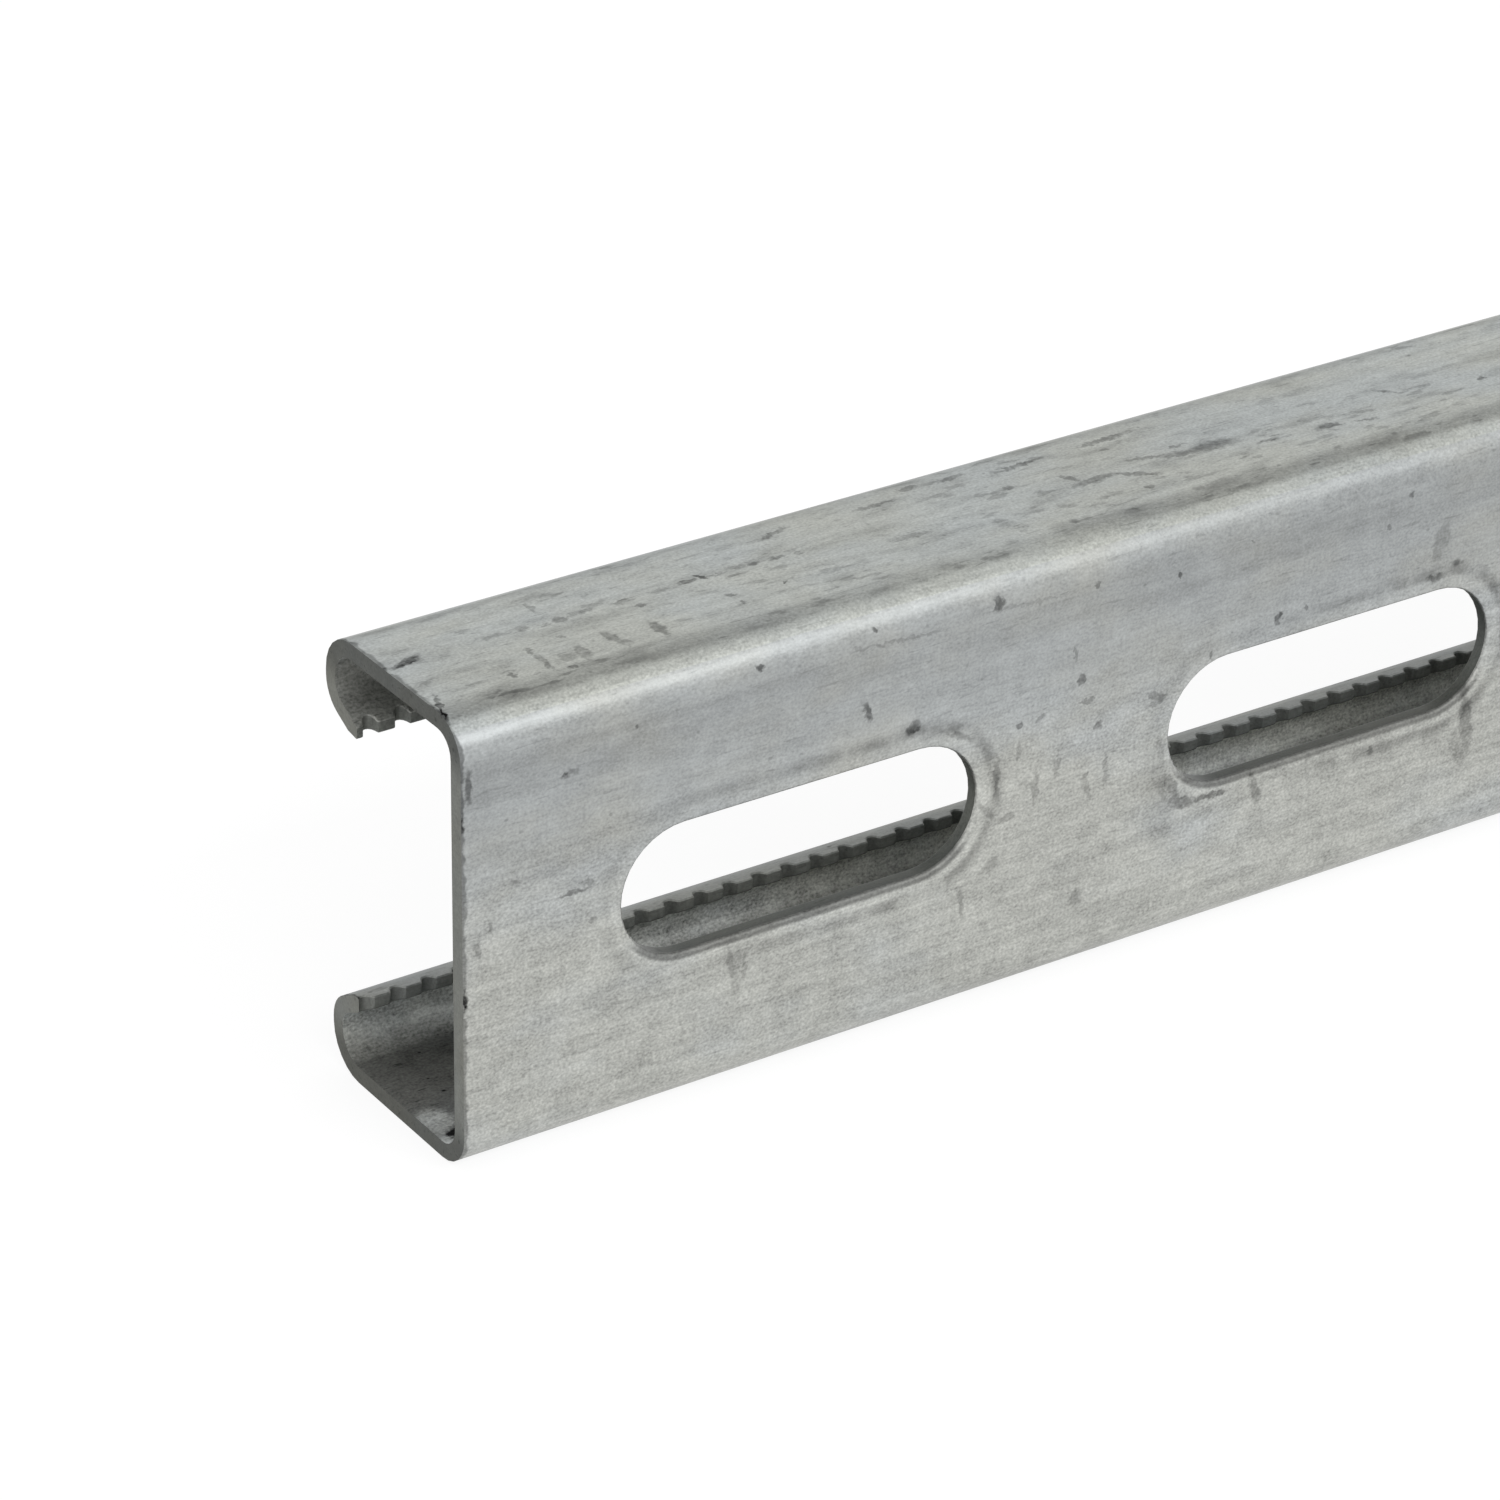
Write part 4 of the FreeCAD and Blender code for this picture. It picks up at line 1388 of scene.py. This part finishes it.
        steel = graph.add("ShaderNodeBsdfPrincipled")
        graph.put(steel.inputs["Base Color"], colour)
        steel.inputs["Metallic"].default_value = self.metal
        rough = graph.math("ADD", graph.remap(grain, pattern.grain_roughness), self.roughness)
        rough = graph.math("ADD", rough, graph.math("MULTIPLY", dark, pattern.dark_roughness))
        graph.put(steel.inputs["Roughness"], rough)
        bump = graph.add("ShaderNodeBump")
        bump.inputs["Strength"].default_value = self.bump
        bump.inputs["Distance"].default_value = pattern.relief_depth
        graph.put(bump.inputs["Height"], graph.math(
            "ADD", graph.math("MULTIPLY", grain, pattern.grain_relief),
            graph.math("MULTIPLY", lines, pattern.line_relief)))
        graph.put(steel.inputs["Normal"], bump.outputs[0])
        out = graph.add("ShaderNodeOutputMaterial")
        graph.put(out.inputs["Surface"], steel.outputs[0])
        return material


FINISHES = (
    # The outside's tone, seen most on the top, is a little darker than the web's: painted shade
    # against the light from above.
    ZincFinish(Finish.OUTSIDE, srgb(170, 172, 169)),
    ZincFinish(Finish.WEB, srgb(173, 174, 172), blotch=0.2, streak=0.2, scratch=0.12),
    # The inside's tone is paler than the outside's: painted light that lifts the inside out of its
    # shade.
    ZincFinish(Finish.INSIDE, srgb(182, 183, 180), roughness=0.5, metal=0.6, cloud=0.3, blotch=0.5,
               streak=0.3, grain=0.95, speck=0.6, bump=0.2),
    ZincFinish(Finish.SLOT_WALL, srgb(88, 90, 86), roughness=0.45, metal=0.7, speck=0.2),
    ZincFinish(Finish.CUT_END, srgb(113, 114, 109), roughness=0.5, metal=0.7),
    # The tips' dark tone is painted shade: they face the web and lie in its shadow.
    ZincFinish(Finish.TEETH, srgb(108, 110, 107), roughness=0.55, metal=0.3),
)


# Studio


WHITE: Colour = (1.0, 1.0, 1.0, 1.0)


@dataclass(frozen=True)
class Viewpoint:
    """Where the photograph was taken from: places in metres, angles in degrees."""

    place: tuple[float, float, float] = (-0.705059, -0.355635, 0.256245)
    azimuth: float = 33.925
    elevation: float = 28.395
    roll: float = 0.923
    lens: float = 141.01
    sensor: float = 36.0
    nearest: float = 0.01
    farthest: float = 50.0

    def build(self) -> bpy.types.Object:
        """Makes the camera and hands it to the scene.

        Returns:
            The camera.
        """
        data = bpy.data.cameras.new("viewpoint")
        data.lens, data.sensor_width, data.sensor_fit = self.lens, self.sensor, "HORIZONTAL"
        data.clip_start, data.clip_end = self.nearest, self.farthest
        camera = bpy.data.objects.new("viewpoint", data)
        bpy.context.scene.collection.objects.link(camera)
        turn = (Matrix.Rotation(-math.radians(self.azimuth), 4, "Z")
                @ Matrix.Rotation(math.radians(90 - self.elevation), 4, "X")
                @ Matrix.Rotation(math.radians(self.roll), 4, "Z"))
        camera.matrix_world = Matrix.Translation(self.place) @ turn
        bpy.context.scene.camera = camera
        return camera


@dataclass(frozen=True)
class Softbox:
    """A rectangular lamp that faces a point: places and sizes in metres."""

    name: str
    place: tuple[float, float, float]
    target: tuple[float, float, float]
    size: tuple[float, float]
    watts: float

    def build(self) -> bpy.types.Object:
        """Makes the lamp, its long side level.

        Returns:
            The lamp.
        """
        data = bpy.data.lights.new(self.name, "AREA")
        data.shape, data.size, data.size_y = "RECTANGLE", *self.size
        data.energy = self.watts
        lamp = bpy.data.objects.new(self.name, data)
        bpy.context.scene.collection.objects.link(lamp)
        aim = Vector(self.target) - Vector(self.place)
        lamp.matrix_world = (Matrix.Translation(self.place)
                             @ aim.to_track_quat("-Z", "Y").to_matrix().to_4x4())
        return lamp


@dataclass(frozen=True)
class Studio:
    """A plain pale floor, soft light from all round and a long softbox over the web's side."""

    floor_size: float = 8.0
    floor_drop: float = 0.0001
    floor_tone: float = 0.86
    floor_white: float = 0.8
    floor_glow: float = 1.07
    room_light: float = 0.8
    softboxes: tuple[Softbox, ...] = (
        Softbox("long_softbox", (-0.43, -0.815, 0.713), (-0.43, -0.01, 0.04), (1.0, 0.3), 5.2),
    )

    @staticmethod
    def seen(graph: Graph) -> bpy.types.NodeSocket:
        """Tells the camera, reflections and what glass shows from the light itself.

        Args:
            graph: The nodes of the floor or the room.

        Returns:
            1 where it is seen and 0 where it only lights.
        """
        path = graph.add("ShaderNodeLightPath")
        rays = [path.outputs[f"Is {kind} Ray"] for kind in ("Camera", "Glossy", "Transmission")]
        return graph.math("MAXIMUM", graph.math("MAXIMUM", rays[0], rays[1]), rays[2])

    def build_room(self) -> None:
        """Makes the world: white where it is seen, and an even light elsewhere."""
        world = bpy.data.worlds.new("room")
        world.use_nodes = True
        graph = Graph(world.node_tree)
        level = graph.remap(self.seen(graph), Ramp(0.0, 1.0, self.room_light, 1.0))
        background = graph.add("ShaderNodeBackground")
        background.inputs["Color"].default_value = WHITE
        graph.put(background.inputs["Strength"], level)
        out = graph.add("ShaderNodeOutputWorld")
        graph.put(out.inputs["Surface"], background.outputs[0])
        bpy.context.scene.world = world

    def build_floor(self) -> bpy.types.Object:
        """Makes the floor, white where it is seen, with the object's shadow left on it.

        Returns:
            The floor.
        """
        mesh = bmesh.new()
        bmesh.ops.create_grid(mesh, x_segments=1, y_segments=1, size=self.floor_size / 2)
        bmesh.ops.translate(mesh, verts=mesh.verts, vec=-Z_AXIS * self.floor_drop)
        floor = to_object(mesh, "floor")
        material = bpy.data.materials.new("pale_floor")
        material.use_nodes = True
        graph = Graph(material.node_tree)
        matt = graph.add("ShaderNodeBsdfDiffuse")
        matt.inputs["Color"].default_value = (*(self.floor_tone,) * 3, 1)
        white = graph.add("ShaderNodeEmission")
        white.inputs["Color"].default_value = WHITE
        white.inputs["Strength"].default_value = self.floor_glow
        blend = graph.add("ShaderNodeMixShader")
        graph.put(blend.inputs[0], graph.math("MULTIPLY", self.seen(graph), self.floor_white))
        graph.put(blend.inputs[1], matt.outputs[0])
        graph.put(blend.inputs[2], white.outputs[0])
        out = graph.add("ShaderNodeOutputMaterial")
        graph.put(out.inputs["Surface"], blend.outputs[0])
        floor.data.materials.append(material)
        return floor

    def build(self) -> None:
        """Makes the room, floor and lamps, and sets plain colour."""
        self.build_room()
        self.build_floor()
        for softbox in self.softboxes:
            softbox.build()
        bpy.context.scene.view_settings.view_transform = "Standard"


def main() -> None:
    """Builds the channel, its finishes and the studio, and reports each piece."""
    logging.basicConfig(level=logging.INFO, format="%(name)s: %(message)s")
    piece = StrutChannel().build()
    for finish in FINISHES:
        finish.build()
    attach(piece, "root")
    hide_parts(NODE)
    piece.data.calc_loop_triangles()
    LOG.info("%s: %d triangles, %d finishes", piece.name, len(piece.data.loop_triangles),
             len(piece.data.materials))
    Studio().build()
    Viewpoint().build()
    bpy.context.view_layer.update()


if __name__ == "__main__":
    main()
